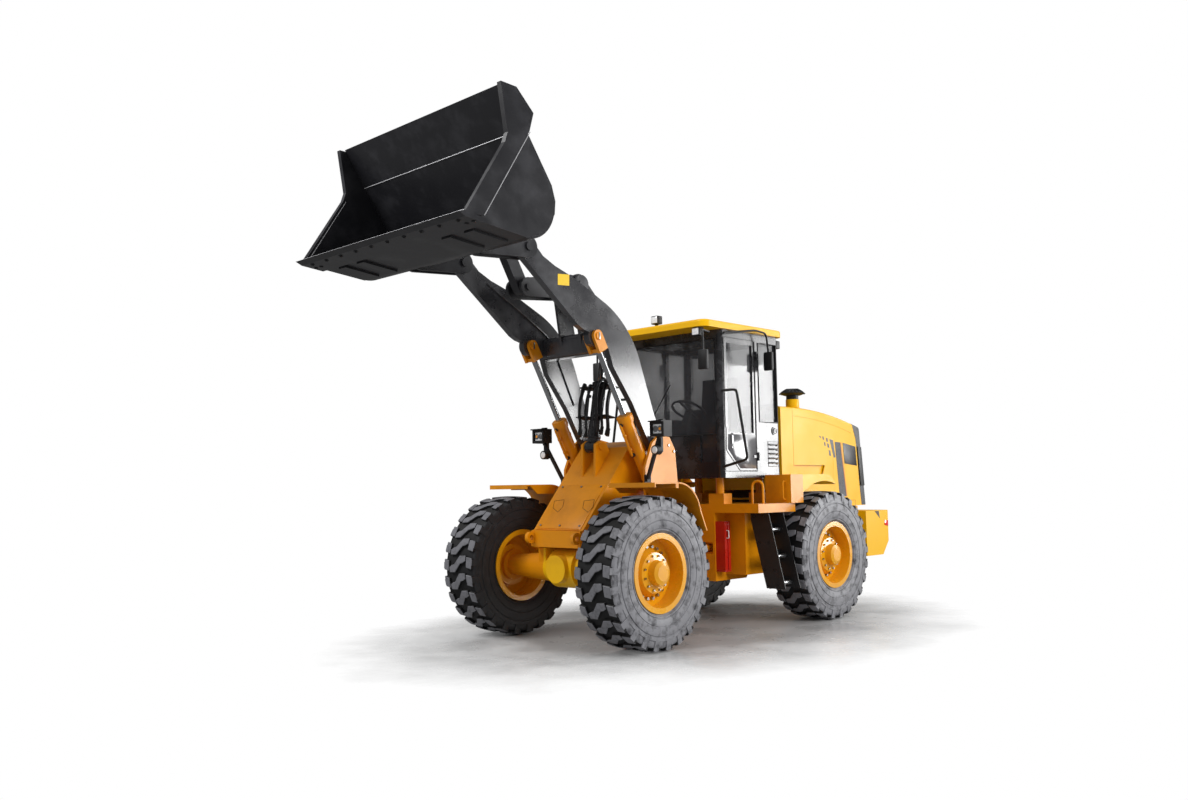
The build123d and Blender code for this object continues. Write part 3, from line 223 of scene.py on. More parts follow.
finishes = {
    "amberPaint": {"colour": (0.80, 0.290, 0.004), "grime": (0.34, 0.105, 0.003), "gloss": 0.34,
                   "coat": 0.1, "specular": 0.3, "grimeAmount": 0.45, "scale": 2.2, "dustAmount": 0.06},
    "yellowPaint": {"colour": (0.95, 0.52, 0.004), "gloss": 0.34, "coat": 0.05, "specular": 0.2,
                    "grimeAmount": 0.10, "grime": (0.62, 0.27, 0.01), "dustAmount": 0.05},
    "charcoalPaint": {"colour": (0.014, 0.014, 0.017), "grime": (0.050, 0.050, 0.058), "gloss": 0.36,
                      "coat": 0.15, "grimeAmount": 0.55, "scale": 3.5, "dustAmount": 0.12,
                      "dust": (0.10, 0.10, 0.11)},
    "armPaint": {"colour": (0.030, 0.030, 0.034), "grime": (0.110, 0.110, 0.120), "gloss": 0.24,
                 "coat": 0.9, "grimeAmount": 0.6, "scale": 2.6, "dustAmount": 0.1,
                 "dust": (0.12, 0.12, 0.13)},
    "cabPaint": {"colour": (0.018, 0.018, 0.020), "grime": (0.10, 0.10, 0.11), "gloss": 0.22, "coat": 0.4,
                 "grimeAmount": 0.45, "scale": 5.0, "dustAmount": 0.12, "dust": (0.2, 0.2, 0.2)},
    "blackPlastic": {"colour": (0.014, 0.014, 0.015), "grime": (0.04, 0.04, 0.04), "gloss": 0.5,
                     "dustAmount": 0.1, "dust": (0.12, 0.12, 0.12), "bump": 0.1},
    "treadFace": {"colour": (0.175, 0.175, 0.192), "grime": (0.080, 0.080, 0.090), "gloss": 0.46,
                  "dustAmount": 0.15, "grimeAmount": 0.8, "scale": 22.0, "dust": (0.30, 0.30, 0.31),
                  "bump": 0.3},
    "treadGroove": {"colour": (0.010, 0.010, 0.011), "gloss": 0.75, "dustAmount": 0.05, "bump": 0.2},
    "tyreSide": {"colour": (0.220, 0.220, 0.238), "grime": (0.022, 0.022, 0.026), "gloss": 0.50,
                 "dustAmount": 0.1, "grimeAmount": 0.95, "scale": 13.0, "dust": (0.25, 0.25, 0.25),
                 "bump": 0.4},
    # painted shade: a darker copy of the sidewall finish, for the sidewalls that face the frame
    "tyreInnerPaintedShade": {"colour": (0.020, 0.020, 0.022), "grime": (0.045, 0.045, 0.048), "gloss": 0.6,
                  "scale": 13.0, "grimeAmount": 0.6, "dustAmount": 0.05, "bump": 0.4},
    "rimPaint": {"colour": (0.88, 0.400, 0.006), "grime": (0.50, 0.170, 0.006), "gloss": 0.26,
                 "coat": 0.5, "grimeAmount": 0.30, "scale": 5.0, "dustAmount": 0.05},
    "markBlack": {"colour": (0.012, 0.012, 0.014), "grime": (0.030, 0.030, 0.034), "gloss": 0.38,
                  "dustAmount": 0.05},
    "meshGrey": {"colour": (0.090, 0.090, 0.098), "grime": (0.012, 0.012, 0.014), "gloss": 0.55,
                 "scale": 90.0, "grimeAmount": 1.0, "dustAmount": 0.05, "bump": 0.5},
    "panelGloss": {"colour": (0.115, 0.115, 0.122), "grime": (0.030, 0.030, 0.034), "gloss": 0.12,
                   "coat": 0.8, "grimeAmount": 0.6, "scale": 6.0, "dustAmount": 0.05},
    "stickerYellow": {"colour": (0.95, 0.62, 0.01), "grime": (0.80, 0.45, 0.01), "gloss": 0.35,
                      "dustAmount": 0.0, "grimeAmount": 0.4, "scale": 30.0},
    # dark brown for seams and outlines, also used as painted shade in the counterweight's notches
    "seamBrown": {"colour": (0.060, 0.022, 0.004), "gloss": 0.5, "dustAmount": 0.0},
    "hoseRubber": {"colour": (0.012, 0.012, 0.013), "gloss": 0.42, "dustAmount": 0.08, "bump": 0.1},
    "chromeRod": {"colour": (0.62, 0.63, 0.65), "grime": (0.30, 0.30, 0.31), "gloss": 0.14,
                  "metallic": 1.0, "grimeAmount": 0.25, "scale": 12.0, "dustAmount": 0.0},
    "bareSteel": {"colour": (0.42, 0.42, 0.43), "gloss": 0.36, "metallic": 1.0, "dustAmount": 0.05},
    "rungAluminium": {"colour": (0.62, 0.63, 0.64), "gloss": 0.3, "metallic": 1.0, "dustAmount": 0.05},
    "redPaint": {"colour": (0.52, 0.014, 0.008), "gloss": 0.3, "coat": 0.4, "grimeAmount": 0.2},
    "weldBright": {"colour": (0.66, 0.66, 0.68), "gloss": 0.4, "metallic": 0.4, "dustAmount": 0.0},
    "seatCloth": {"colour": (0.030, 0.030, 0.034), "gloss": 0.8, "bump": 0.3, "scale": 14.0},
    "engineCasting": {"colour": (0.10, 0.10, 0.105), "gloss": 0.6, "grimeAmount": 0.5},
    "whitePaint": {"colour": (0.80, 0.80, 0.80), "gloss": 0.3, "dustAmount": 0.05, "grimeAmount": 0.1},
}
paints = {name: wornFinish(name, look) for name, look in finishes.items()}


def pinHeading(start, end):
    return (Vector((end[0] - start[0], 0, end[1] - start[1]))).normalized()


pins = {    # x and z from the steering pivot
    "liftRod": (1.588, 2.865),
    "liftBase": (0.790, 1.450),
    "tiltRod": (0.930, 3.050),
    "tiltBase": (1.151, 1.855),
}
liftHeading = pinHeading(pins["liftRod"], pins["liftBase"])
tiltHeading = pinHeading(pins["tiltRod"], pins["tiltBase"])
paints["forkedRod"] = wornFinish(
    "forkedRod", finishes["chromeRod"], finishes["amberPaint"],
    pastPoint((pivotX + pins["liftRod"][0], 0, pins["liftRod"][1]), liftHeading, 0.151),
)
paints["eyedRod"] = wornFinish(
    "eyedRod", finishes["chromeRod"], finishes["charcoalPaint"],
    pastPoint((pivotX + pins["tiltRod"][0], 0, pins["tiltRod"][1]), tiltHeading, 0.070),
)
paints["axlePaint"] = wornFinish(
    "axlePaint", finishes["amberPaint"], finishes["yellowPaint"], nearMiddle(0.27),
)


def glassFinish(name, colour, alpha):
    material, tree, shader = newMaterial(name)
    coords = objectCoords(tree)
    haze = noiseNode(tree, coords, 3.0, 5, 0.6)
    ramp = rangeNode(tree, haze, 0.35, 0.75, 0.02, 0.16)
    link(tree, ramp, shader.inputs["Roughness"])
    alphaRamp = rangeNode(tree, haze, 0.3, 0.8, alpha, alpha + 0.18)
    link(tree, alphaRamp, shader.inputs["Alpha"])
    shader.inputs["Base Color"].default_value = (*colour, 1)
    shader.inputs["Specular IOR Level"].default_value = 0.8
    material.surface_render_method = "BLENDED"
    return material


paints["cabWindow"] = glassFinish("cabWindow", (0.045, 0.045, 0.050), 0.42)


def lensFinish(name, colour, glow):
    material, tree, shader = newMaterial(name)
    coords = objectCoords(tree)
    cells = tree.nodes.new("ShaderNodeTexVoronoi")
    cells.inputs["Scale"].default_value = 60
    link(tree, coords, cells.inputs["Vector"])
    bright = [min(1, c * 1.6 + 0.05) for c in colour]
    facets = mixColours(tree, cells.outputs["Distance"], (*colour, 1), (*bright, 1))
    link(tree, facets, shader.inputs["Base Color"])
    shader.inputs["Roughness"].default_value = 0.08
    shader.inputs["Coat Weight"].default_value = 1.0
    # a faint painted glow in the lens's own colour, with no lamp behind it; the reflectors glow too
    shader.inputs["Emission Strength"].default_value = glow
    shader.inputs["Emission Color"].default_value = (*colour, 1)
    return material


# the last number is each lens's painted glow
paints["clearLens"] = lensFinish("clearLens", (0.72, 0.74, 0.76), 0.05)
paints["redLens"] = lensFinish("redLens", (0.60, 0.012, 0.010), 0.1)
paints["amberLens"] = lensFinish("amberLens", (0.85, 0.28, 0.01), 0.1)
print("finishes made")

nodeFinish = {
    "amberPaint": ["rear_frame", "side_decks", "side_tanks", "tool_boxes", "front_frame", "front_fenders",
                   "lift_barrel_left", "lift_barrel_right", "steer_barrel_left", "steer_barrel_right",
                   "rear_axle"],
    "axlePaint": ["front_axle"],
    "rimPaint": ["rim_front_left", "rim_front_right", "rim_rear_left", "rim_rear_right"],
    "yellowPaint": ["hood_shell", "hood_bulkhead", "counterweight", "cab_roof", "rear_fenders"],
    "charcoalPaint": ["bellcrank", "tilt_link", "bucket"],
    "armPaint": ["boom"],
    "cabPaint": ["cab_shell", "cab_door", "tilt_barrel"],
    "blackPlastic": ["cab_controls", "head_lamps", "rear_grille", "pre_cleaner", "steps_and_rails"],
    "forkedRod": ["lift_rod_left", "lift_rod_right"],
    "eyedRod": ["tilt_rod"],
    "chromeRod": ["steer_rod_left", "steer_rod_right"],
    "redPaint": ["lock_bar"],
    "redLens": ["tail_lamps"],
    "seatCloth": ["operator_seat"],
    "engineCasting": ["engine_block"],
    "cabWindow": ["cab_glass", "door_glass"],
    "treadGroove": ["tyre_front_left", "tyre_front_right", "tyre_rear_left", "tyre_rear_right"],
}
for finish, names in nodeFinish.items():
    for name in names:
        if name in nodes:
            mesh = nodes[name].data
            mesh.materials.clear()
            mesh.materials.append(paints[finish])
print("solids painted")


# Helpers for new pieces

def at(x, y, z):    # a place measured from the steering pivot
    return Vector((pivotX + x, y, z))


def putInScene(name, data):
    piece = bpy.data.objects.new(name, data)
    bpy.context.scene.collection.objects.link(piece)
    return piece


def finishPiece(bm, name, finish, body, smoothAngle=35):
    bmesh.ops.remove_doubles(bm, verts=bm.verts, dist=0.00002)
    bmesh.ops.recalc_face_normals(bm, faces=bm.faces)
    mesh = bpy.data.meshes.new(name)
    bm.to_mesh(mesh)
    bm.free()
    piece = putInScene(name, mesh)
    for kind in [finish] if isinstance(finish, str) else finish:
        mesh.materials.append(paints[kind])
    mesh.shade_smooth()
    mesh.set_sharp_from_angle(angle=math.radians(smoothAngle))
    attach(piece, body)
    return piece


def edgesOf(verts):
    return list({e for v in verts for e in v.link_edges})


def softenEdges(bm, edges, offset, segments=2):
    bmesh.ops.bevel(bm, geom=edges, offset=offset, segments=segments, affect="EDGES", profile=0.5,
                    material=-1)


def addBlock(bm, low, high, bevel=0.0, turn=None):
    made = bmesh.ops.create_cube(bm, size=1)["verts"]
    size = [b - a for a, b in zip(low, high)]
    middle = Vector([(a + b) / 2 for a, b in zip(low, high)])
    bmesh.ops.scale(bm, vec=size, verts=made)
    bmesh.ops.translate(bm, vec=middle, verts=made)
    if turn:
        bmesh.ops.rotate(bm, cent=middle, matrix=turn, verts=made)
    if bevel:
        softenEdges(bm, edgesOf(made), bevel)
    return made


def addFacing(bm, hand, back, front, bounds, bevel):    # a plate across the machine, on its left or its right
    near, far, low, high = bounds
    inner, outer = sorted((hand * near, hand * far))
    addBlock(bm, at(back, inner, low), at(front, outer, high), bevel)


def addSloped(bm, corners):    # a cube whose corners go to eight places, as where it lies on a slope
    made = bmesh.ops.create_cube(bm, size=1)["verts"]
    for vert in made:
        x, y, z = vert.co
        vert.co = corners[4 * (x > 0) + 2 * (y > 0) + (z > 0)]
    return made


def addDisc(bm, centre, axis, radius, depth, sides=16, bevel=0.0, topRadius=None):
    made = bmesh.ops.create_cone(
        bm, cap_ends=True, segments=sides, radius1=radius, depth=depth,
        radius2=radius if topRadius is None else topRadius,
    )["verts"]
    turn = Vector((0, 0, 1)).rotation_difference(Vector(axis)).to_matrix()
    bmesh.ops.rotate(bm, cent=(0, 0, 0), matrix=turn, verts=made)
    bmesh.ops.translate(bm, vec=centre, verts=made)
    if bevel:
        rims = [e for e in edgesOf(made) if len(e.link_faces) == 2 and e.calc_face_angle(0) > 1.0]
        softenEdges(bm, rims, bevel)
    return made


def addRing(bm, centre, axis, outer, inner, depth, sides=28):    # a collar that a rod can slide through
    made = [bm.verts.new((radius, 0, z)) for radius, z in
            ((inner, -depth / 2), (outer, -depth / 2), (outer, depth / 2), (inner, depth / 2))]
    edges = [bm.edges.new((made[i], made[(i + 1) % 4])) for i in range(4)]
    before = set(bm.verts) - set(made)
    bmesh.ops.spin(bm, geom=made + edges, cent=(0, 0, 0), axis=(0, 0, 1), angle=2 * math.pi, steps=sides,
                   use_merge=True)
    ring = [v for v in bm.verts if v not in before]
    turn = Vector((0, 0, 1)).rotation_difference(Vector(axis)).to_matrix()
    bmesh.ops.rotate(bm, cent=(0, 0, 0), matrix=turn, verts=ring)
    bmesh.ops.translate(bm, vec=centre, verts=ring)
    bmesh.ops.recalc_face_normals(bm, faces=list({f for v in ring for f in v.link_faces}))


def addPrism(bm, outline, low, high, bevel=0.0):    # an outline in x and z from the pivot, grown across
    verts = [bm.verts.new(at(x, low, z)) for x, z in outline]
    grown = bmesh.ops.extrude_face_region(bm, geom=[bm.faces.new(verts)])["geom"]
    moved = [g for g in grown if isinstance(g, bmesh.types.BMVert)]
    bmesh.ops.translate(bm, vec=(0, high - low, 0), verts=moved)
    if bevel:
        softenEdges(bm, edgesOf(verts + moved), bevel)


def addTube(bm, points, radius, sides=10, bend=0.0):    # a bent steel tube, its corners rounded
    points = [Vector(point) for point in points]
    path = [points[0]]
    for before, corner, after in zip(points, points[1:], points[2:]):
        cut = min(bend, (before - corner).length * 0.45, (after - corner).length * 0.45)
        first = corner + (before - corner).normalized() * cut
        last = corner + (after - corner).normalized() * cut
        for i in range(5 if cut > 0 else 1):
            t = i / 4
            path.append(first * (1 - t) ** 2 + corner * 2 * t * (1 - t) + last * t ** 2)
    path.append(points[-1])
    rings = []
    across = (path[1] - path[0]).orthogonal().normalized()
    for i, point in enumerate(path):
        ahead = (path[min(i + 1, len(path) - 1)] - path[max(i - 1, 0)]).normalized()
        across = (across - ahead * across.dot(ahead)).normalized()
        other = ahead.cross(across)
        turns = [2 * math.pi * k / sides for k in range(sides)]
        spokes = [across * math.cos(a) + other * math.sin(a) for a in turns]
        rings.append([bm.verts.new(point + spoke * radius) for spoke in spokes])
    for first, last in zip(rings, rings[1:]):
        for i in range(sides):
            j = (i + 1) % sides
            bm.faces.new((first[i], first[j], last[j], last[i]))
    bm.faces.new(rings[0][::-1])
    bm.faces.new(rings[-1])


def addHoses(name, routes, radius, finish, body):
    data = bpy.data.curves.new(name, "CURVE")
    data.dimensions = "3D"
    data.bevel_depth = radius
    data.bevel_resolution = 3
    data.resolution_u = 6
    data.use_fill_caps = True
    for route in routes:
        spline = data.splines.new("NURBS")
        spline.points.add(len(route) - 1)
        for point, place in zip(spline.points, route):
            point.co = (*place, 1)
        spline.order_u = 4
        spline.use_endpoint_u = True
    data.materials.append(paints[finish])
    piece = putInScene(name, data)
    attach(piece, body)
    return piece


# Tyres

tyre = {
    "radius": 0.690,
    "grooveDepth": 0.034,
    "crownDrop": 0.008,
    "pitches": 25,
    "steps": 96,
    "centreLug": [(-0.120, 0.034), (-0.114, 0.086), (-0.030, 0.082), (0.045, -0.004), (0.080, -0.012)],
    "shoulderLug": [(0.134, 0.030), (0.205, 0.044), (0.205, -0.062), (0.130, -0.072)],
    "sideRib": {"low": 0.585, "high": 0.676, "half": 0.030, "inner": 0.196, "outer": 0.2245},
    "cutEvery": 0.03,
    "lugBevel": 0.005,
    "sidewall": [
        (0.180, 0.319), (0.187, 0.325), (0.1875, 0.356), (0.196, 0.368), (0.205, 0.376), (0.211, 0.379),
        (0.212, 0.388), (0.206, 0.391), (0.207, 0.397), (0.214, 0.400), (0.219, 0.425), (0.2225, 0.455),
        (0.2225, 0.462), (0.218, 0.464), (0.219, 0.470), (0.2235, 0.473), (0.2245, 0.505), (0.2235, 0.540),
        (0.2225, 0.546), (0.216, 0.549), (0.216, 0.556), (0.2215, 0.560), (0.221, 0.590), (0.215, 0.594),
        (0.214, 0.615), (0.210, 0.640), (0.200, 0.652), (0.180, 0.656), (0.100, 0.657), (0.0, 0.658),
    ],
}


def addLug(bm, outline, height):
    verts = [bm.verts.new((u, v, 0)) for v, u in outline]
    face = bm.faces.new(verts)
    top = bmesh.ops.extrude_face_region(bm, geom=[face])
    raised = [g for g in top["geom"] if isinstance(g, bmesh.types.BMVert)]
    bmesh.ops.translate(bm, vec=(0, 0, height), verts=raised)
    rim = [g for g in top["geom"] if isinstance(g, bmesh.types.BMEdge)]
    softenEdges(bm, rim, tyre["lugBevel"], 1)


def tyreMesh():
    tread = bmesh.new()
    flip = [(-v, -u) for v, u in tyre["centreLug"]]
    addLug(tread, tyre["centreLug"] + flip, tyre["grooveDepth"])
    for side in (1, -1):
        addLug(tread, [(side * v, side * u) for v, u in tyre["shoulderLug"]], tyre["grooveDepth"])
    cut = -0.15
    while cut < 0.15:
        bmesh.ops.bisect_plane(tread, geom=tread.verts[:] + tread.edges[:] + tread.faces[:],
                               plane_co=(cut, 0, 0), plane_no=(1, 0, 0))
        cut += tyre["cutEvery"]
    base = tyre["radius"] - tyre["grooveDepth"] - 0.001
    for vert in tread.verts:    # the flat tread wraps round the tyre
        around, across, height = vert.co
        reach = base + height - tyre["crownDrop"] * (across / 0.2) ** 2
        turn = around / tyre["radius"]
        vert.co = (reach * math.sin(turn), across, reach * math.cos(turn))
    rib = tyre["sideRib"]
    for side in (1, -1):
        lift = side * -0.010 / tyre["radius"] * 2
        low, high = sorted((side * rib["inner"], side * rib["outer"]))
        made = addBlock(tread, (-rib["half"], low, rib["low"]), (rib["half"], high, rib["high"]))
        bmesh.ops.rotate(tread, cent=(0, 0, 0), matrix=Matrix.Rotation(lift, 3, "Y"), verts=made)
        crown = [v for v in made if v.co.z > rib["high"] - 0.01 and abs(v.co.y) > rib["inner"] + 0.01]
        bmesh.ops.translate(tread, vec=(0, -side * 0.012, 0), verts=crown)
    bmesh.ops.spin(tread, geom=tread.verts[:] + tread.edges[:] + tread.faces[:], cent=(0, 0, 0),
                   axis=(0, 1, 0), angle=2 * math.pi * (tyre["pitches"] - 1) / tyre["pitches"],
                   steps=tyre["pitches"] - 1, use_duplicate=True)
    profile = tyre["sidewall"] + [(-y, r) for y, r in reversed(tyre["sidewall"][:-1])]
    previous = None
    edges = []
    for y, r in profile:
        vert = tread.verts.new((0, y, r))
        if previous:
            edges.append(tread.edges.new((previous, vert)))
        previous = vert
    bmesh.ops.spin(tread, geom=edges + list({v for e in edges for v in e.verts}), cent=(0, 0, 0),
                   axis=(0, 1, 0), angle=2 * math.pi, steps=tyre["steps"], use_merge=True)
    for face in tread.faces:
        middle = face.calc_center_median()
        reach = math.hypot(middle.x, middle.z)
        top = tyre["radius"] - tyre["crownDrop"] * (middle.y / 0.2) ** 2
        if abs(middle.y) < 0.206 and reach > top - 0.009:
            face.material_index = 0
        elif reach < 0.652 and abs(middle.y) > 0.176 or abs(middle.y) > 0.206:
            face.material_index = 2
        else:
            face.material_index = 1
    return tread


places = {
    "front_left": (machine["wheelX"], machine["wheelY"]),
    "front_right": (machine["wheelX"], -machine["wheelY"]),
    "rear_left": (-machine["wheelX"], machine["wheelY"]),
    "rear_right": (-machine["wheelX"], -machine["wheelY"]),
}
nuts = {"count": 20, "circle": 0.232, "radius": 0.015, "depth": 0.03, "hubBolts": 12, "hubCircle": 0.155}
for place, (x, y) in places.items():
    bm = tyreMesh()
    for face in bm.faces:    # the side that faces the frame stays dark: painted shade, a darker finish
        if face.material_index == 2 and face.calc_center_median().y * y < 0:
            face.material_index = 3
    bmesh.ops.translate(bm, vec=(pivotX + x, y, machine["wheelZ"]), verts=bm.verts)
    rubber = finishPiece(bm, "treadedTyre_" + place, ["treadFace", "treadGroove", "tyreSide", "tyreInnerPaintedShade"],
                         "wheel_" + place, 40)
    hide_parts("tyre_" + place)
    bm = bmesh.new()
    outward = 1 if y > 0 else -1
    for ring, count, size, across in (
        (nuts["circle"], nuts["count"], nuts["radius"], 0.058),
        (nuts["hubCircle"], nuts["hubBolts"], 0.010, 0.138),
    ):
        for i in range(count):
            turn = 2 * math.pi * (i + 0.5) / count
            centre = (pivotX + x + ring * math.cos(turn), y + outward * across,
                      machine["wheelZ"] + ring * math.sin(turn))
            addDisc(bm, centre, (0, outward, 0), size, nuts["depth"], 6)
    finishPiece(bm, "wheelNuts_" + place, "bareSteel", "wheel_" + place)
print("tyres made")


# Marks, trim and lamps on the hood

hood = {
    "halfWidth": 0.590,
    "front": (-1.500, 2.334),
    "crown": (-2.245, 2.285),
    "rear": (-2.950, 2.150),
    "rearFoot": (-3.050, 1.190),
    "edgeRound": 0.032,
    "skin": 0.0016,
    "bandFront": [(1.195, -2.958), (1.432, -2.926), (1.678, -2.903), (1.908, -2.880), (2.006, -2.863),
                  (2.100, -2.822)],
    "bandTop": -2.800,
    "bandRear": [(1.195, 1.640, 0.452, 0.588), (1.910, 2.100, 0.452, 0.588), (1.640, 1.910, 0.565, 0.588),
                 (2.084, 2.118, -0.452, 0.452)],
    "slotCover": [(-2.340, 1.975), (-2.565, 1.975), (-2.560, 1.290), (-2.338, 1.290)],
    "slot": [(-2.383, 1.955), (-2.504, 1.950), (-2.608, 1.304), (-2.456, 1.304)],
    "slotStrip": [(-2.508, 1.950), (-2.532, 1.950), (-2.632, 1.304), (-2.611, 1.304)],
    "plate": [(-2.560, 1.948), (-2.852, 1.905), (-2.874, 1.672), (-2.592, 1.698)],
    "marks": [
        [(-2.047, 2.019), (-2.073, 2.016), (-2.087, 1.993), (-2.061, 1.996)],
        [(-2.114, 2.015), (-2.143, 2.011), (-2.152, 1.972), (-2.122, 1.976)],
        [(-2.192, 1.999), (-2.226, 1.994), (-2.237, 1.949), (-2.202, 1.955)],
        [(-2.146, 1.949), (-2.174, 1.944), (-2.184, 1.900), (-2.155, 1.905)],
        [(-2.213, 1.935), (-2.251, 1.928), (-2.263, 1.878), (-2.225, 1.885)],
        [(-2.242, 1.856), (-2.280, 1.849), (-2.293, 1.783), (-2.255, 1.790)],
        [(-2.267, 1.987), (-2.345, 1.973), (-2.392, 1.770), (-2.352, 1.762)],
    ],
    "slotBars": {"count": 38, "low": 1.316, "step": 0.0168, "height": 0.006, "top": 1.953, "slope": 0.1135},
    # how far the inner and outer face of each shape stand off the hood's side
    "layers": {"housing": (0.0022, 0.0130), "mark": (0.0004, 0.0012), "plate": (0.0004, 0.0030),
               "cover": (0.0003, 0.0011), "slot": (0.0013, 0.0024), "strip": (0.0013, 0.0040)},
    "seam": [(-2.700, 1.255), (-2.812, 1.255), (-2.808, 1.168)],
    "lampHousing": [(-2.890, 1.908), (-2.977, 1.902), (-3.027, 1.430), (-2.940, 1.430)],
}


def crownZ(x):    # the hood's top line, a circle through three points
    (x1, z1), (x2, z2), (x3, z3) = hood["front"], hood["crown"], hood["rear"]
    a, b, c, d = x2 - x1, z2 - z1, x3 - x1, z3 - z1
    e = (a * (x1 + x2) + b * (z1 + z2)) / 2
    f = (c * (x1 + x3) + d * (z1 + z3)) / 2
    across = a * d - b * c
    centreX, centreZ = (d * e - b * f) / across, (a * f - c * e) / across
    return centreZ + math.sqrt((x1 - centreX) ** 2 + (z1 - centreZ) ** 2 - (x - centreX) ** 2)


def hoodBack(z):
    (highX, highZ), (lowX, lowZ) = hood["rear"], hood["rearFoot"]
    return highX + (highZ - z) * (lowX - highX) / (highZ - lowZ)


def bandRow(bm, y, drop, frontX):    # one line of points along the band, on the top or its rounded edge
    xs = [frontX + (hood["rear"][0] - 0.001 - frontX) * i / 4 for i in range(5)]
    return [bm.verts.new(at(x, y, crownZ(x) - drop)) for x in xs]


def addBand(bm):
    skin, edge = hood["skin"], hood["edgeRound"]
    rows = []
    for z, x in hood["bandFront"]:
        xs = [x + (hoodBack(z) - 0.001 - x) * i / 4 for i in range(5)]
        rows.append([(px, hood["halfWidth"] + skin, z) for px in xs])
    grid = [[bm.verts.new(at(*place)) for place in row] for row in rows]
    for k in range(5):
        turn = math.radians(90 * k / 4)
        y = hood["halfWidth"] - edge + (edge + skin) * math.cos(turn)
        drop = edge - (edge + skin) * math.sin(turn)
        grid.append(bandRow(bm, y, drop, hood["bandTop"]))
    left = grid[:]
    for k in range(1, 6):
        y = (hood["halfWidth"] - edge) * (1 - k / 5)
        left.append(bandRow(bm, y, -skin, hood["bandTop"]))
    for first, last in zip(left, left[1:]):
        for i in range(4):
            bm.faces.new((first[i], first[i + 1], last[i + 1], last[i]))
    copy = bmesh.ops.duplicate(bm, geom=bm.verts[:] + bm.edges[:] + bm.faces[:])["geom"]
    for vert in [g for g in copy if isinstance(g, bmesh.types.BMVert)]:
        vert.co.y = -vert.co.y
    bmesh.ops.remove_doubles(bm, verts=bm.verts, dist=0.0001)
    bmesh.ops.recalc_face_normals(bm, faces=bm.faces)
    bmesh.ops.solidify(bm, geom=bm.faces[:], thickness=0.0014)


def bothSides(bm, outline, inner, outer, bevel=0.0):
    addPrism(bm, outline, inner, outer, bevel)
    addPrism(bm, outline, -outer, -inner, bevel)


def onHood(bm, outline, layer, bevel=0.0):    # a thin shape laid on both sides of the hood
    low, high = hood["layers"][layer]
    bothSides(bm, outline, hood["halfWidth"] + low, hood["halfWidth"] + high, bevel)


bm = bmesh.new()
addBand(bm)
face = hood["halfWidth"]
for low, high, near, far in hood["bandRear"]:    # the band goes on across the rear
    for hand in (1, -1) if near > 0 else (1,):
        addSloped(bm, [at(hoodBack(z) - out, y, z) for z in (low, high)
                       for y in sorted((hand * near, hand * far)) for out in (0.0005, 0.0030)])
finishPiece(bm, "hoodRearBand", "markBlack", "hood", 30)

bm = bmesh.new()
onHood(bm, hood["lampHousing"], "housing", 0.003)
finishPiece(bm, "lampHousings", "blackPlastic", "hood")

bm = bmesh.new()
for outline in hood["marks"]:
    onHood(bm, outline, "mark")
finishPiece(bm, "hoodMarks", "markBlack", "hood")

bm = bmesh.new()
onHood(bm, hood["plate"], "plate", 0.001)
finishPiece(bm, "blankPlates", "markBlack", "hood")

bm = bmesh.new()
onHood(bm, hood["slotCover"], "cover")
for hand in (1, -1):    # the crease below the top edge, and the seam round the rear latch
    xs = [-1.520 - 1.250 * i / 14 for i in range(15)]
    drops = [0.100 + 0.02 * i / 14 for i in range(15)]
    addTube(bm, [at(x, hand * (face - 0.0005), crownZ(x) - drop) for x, drop in zip(xs, drops)], 0.0035, 6)
finishPiece(bm, "hoodCreases", "yellowPaint", "hood")

bm = bmesh.new()
onHood(bm, hood["slot"], "slot")
bars = hood["slotBars"]
for hand in (1, -1):
    y = hand * (face + 0.0026)
    for i in range(bars["count"]):    # the mesh of the slot: short bars across
        z = bars["low"] + i * bars["step"]
        lean = (bars["top"] - z) * bars["slope"]
        addBlock(bm, at(-2.500 - lean, y - 0.0012, z), at(-2.392 - lean, y + 0.0012, z + bars["height"]))
finishPiece(bm, "slotMesh", "meshGrey", "hood")

bm = bmesh.new()
onHood(bm, hood["slotStrip"], "strip")
finishPiece(bm, "slotStrips", "amberPaint", "hood")

intake = {"x": -1.690, "y": 0.470, "fins": 20, "fin": [(0.147, 2.496), (0.120, 2.524), (0.066, 2.556)]}
bm = bmesh.new()
addDisc(bm, at(intake["x"], intake["y"], 2.386), (0, 0, 1), 0.0765, 0.098, 32, 0.006)
finishPiece(bm, "intakeCollar", "yellowPaint", "hood")
bm = bmesh.new()
for i in range(intake["fins"]):    # fins round the air intake's cap
    spoke = Matrix.Rotation(2 * math.pi * i / intake["fins"], 3, "Z")
    fin = [spoke @ Vector((reach, 0, 0)) + at(intake["x"], intake["y"], z) for reach, z in intake["fin"]]
    addTube(bm, fin, 0.006, 6)
finishPiece(bm, "intakeFins", "blackPlastic", "hood")

bm = bmesh.new()
for hand in (1, -1):
    addTube(bm, [at(x, hand * (face + 0.0002), z) for x, z in hood["seam"]], 0.0018, 6)
finishPiece(bm, "hoodSeams", "seamBrown", "hood")

tailLamps = {
    "rows": [("clearLens", 1.845, 1.897), ("redLens", 1.742, 1.843), ("amberLens", 1.653, 1.740)],
    "sides": (0.462, 0.558),
    "proud": (0.0248, 0.0400),
}
for finish, low, high in tailLamps["rows"]:
    bm = bmesh.new()
    for hand in (1, -1):
        made = addSloped(bm, [at(hoodBack(z) - out, y, z) for z in (low, high)
                              for y in sorted(hand * side for side in tailLamps["sides"])
                              for out in tailLamps["proud"]])
        softenEdges(bm, edgesOf(made), 0.004)
    finishPiece(bm, "tail_" + finish, finish, "hood")
print("hood trimmed")


# Cab trim

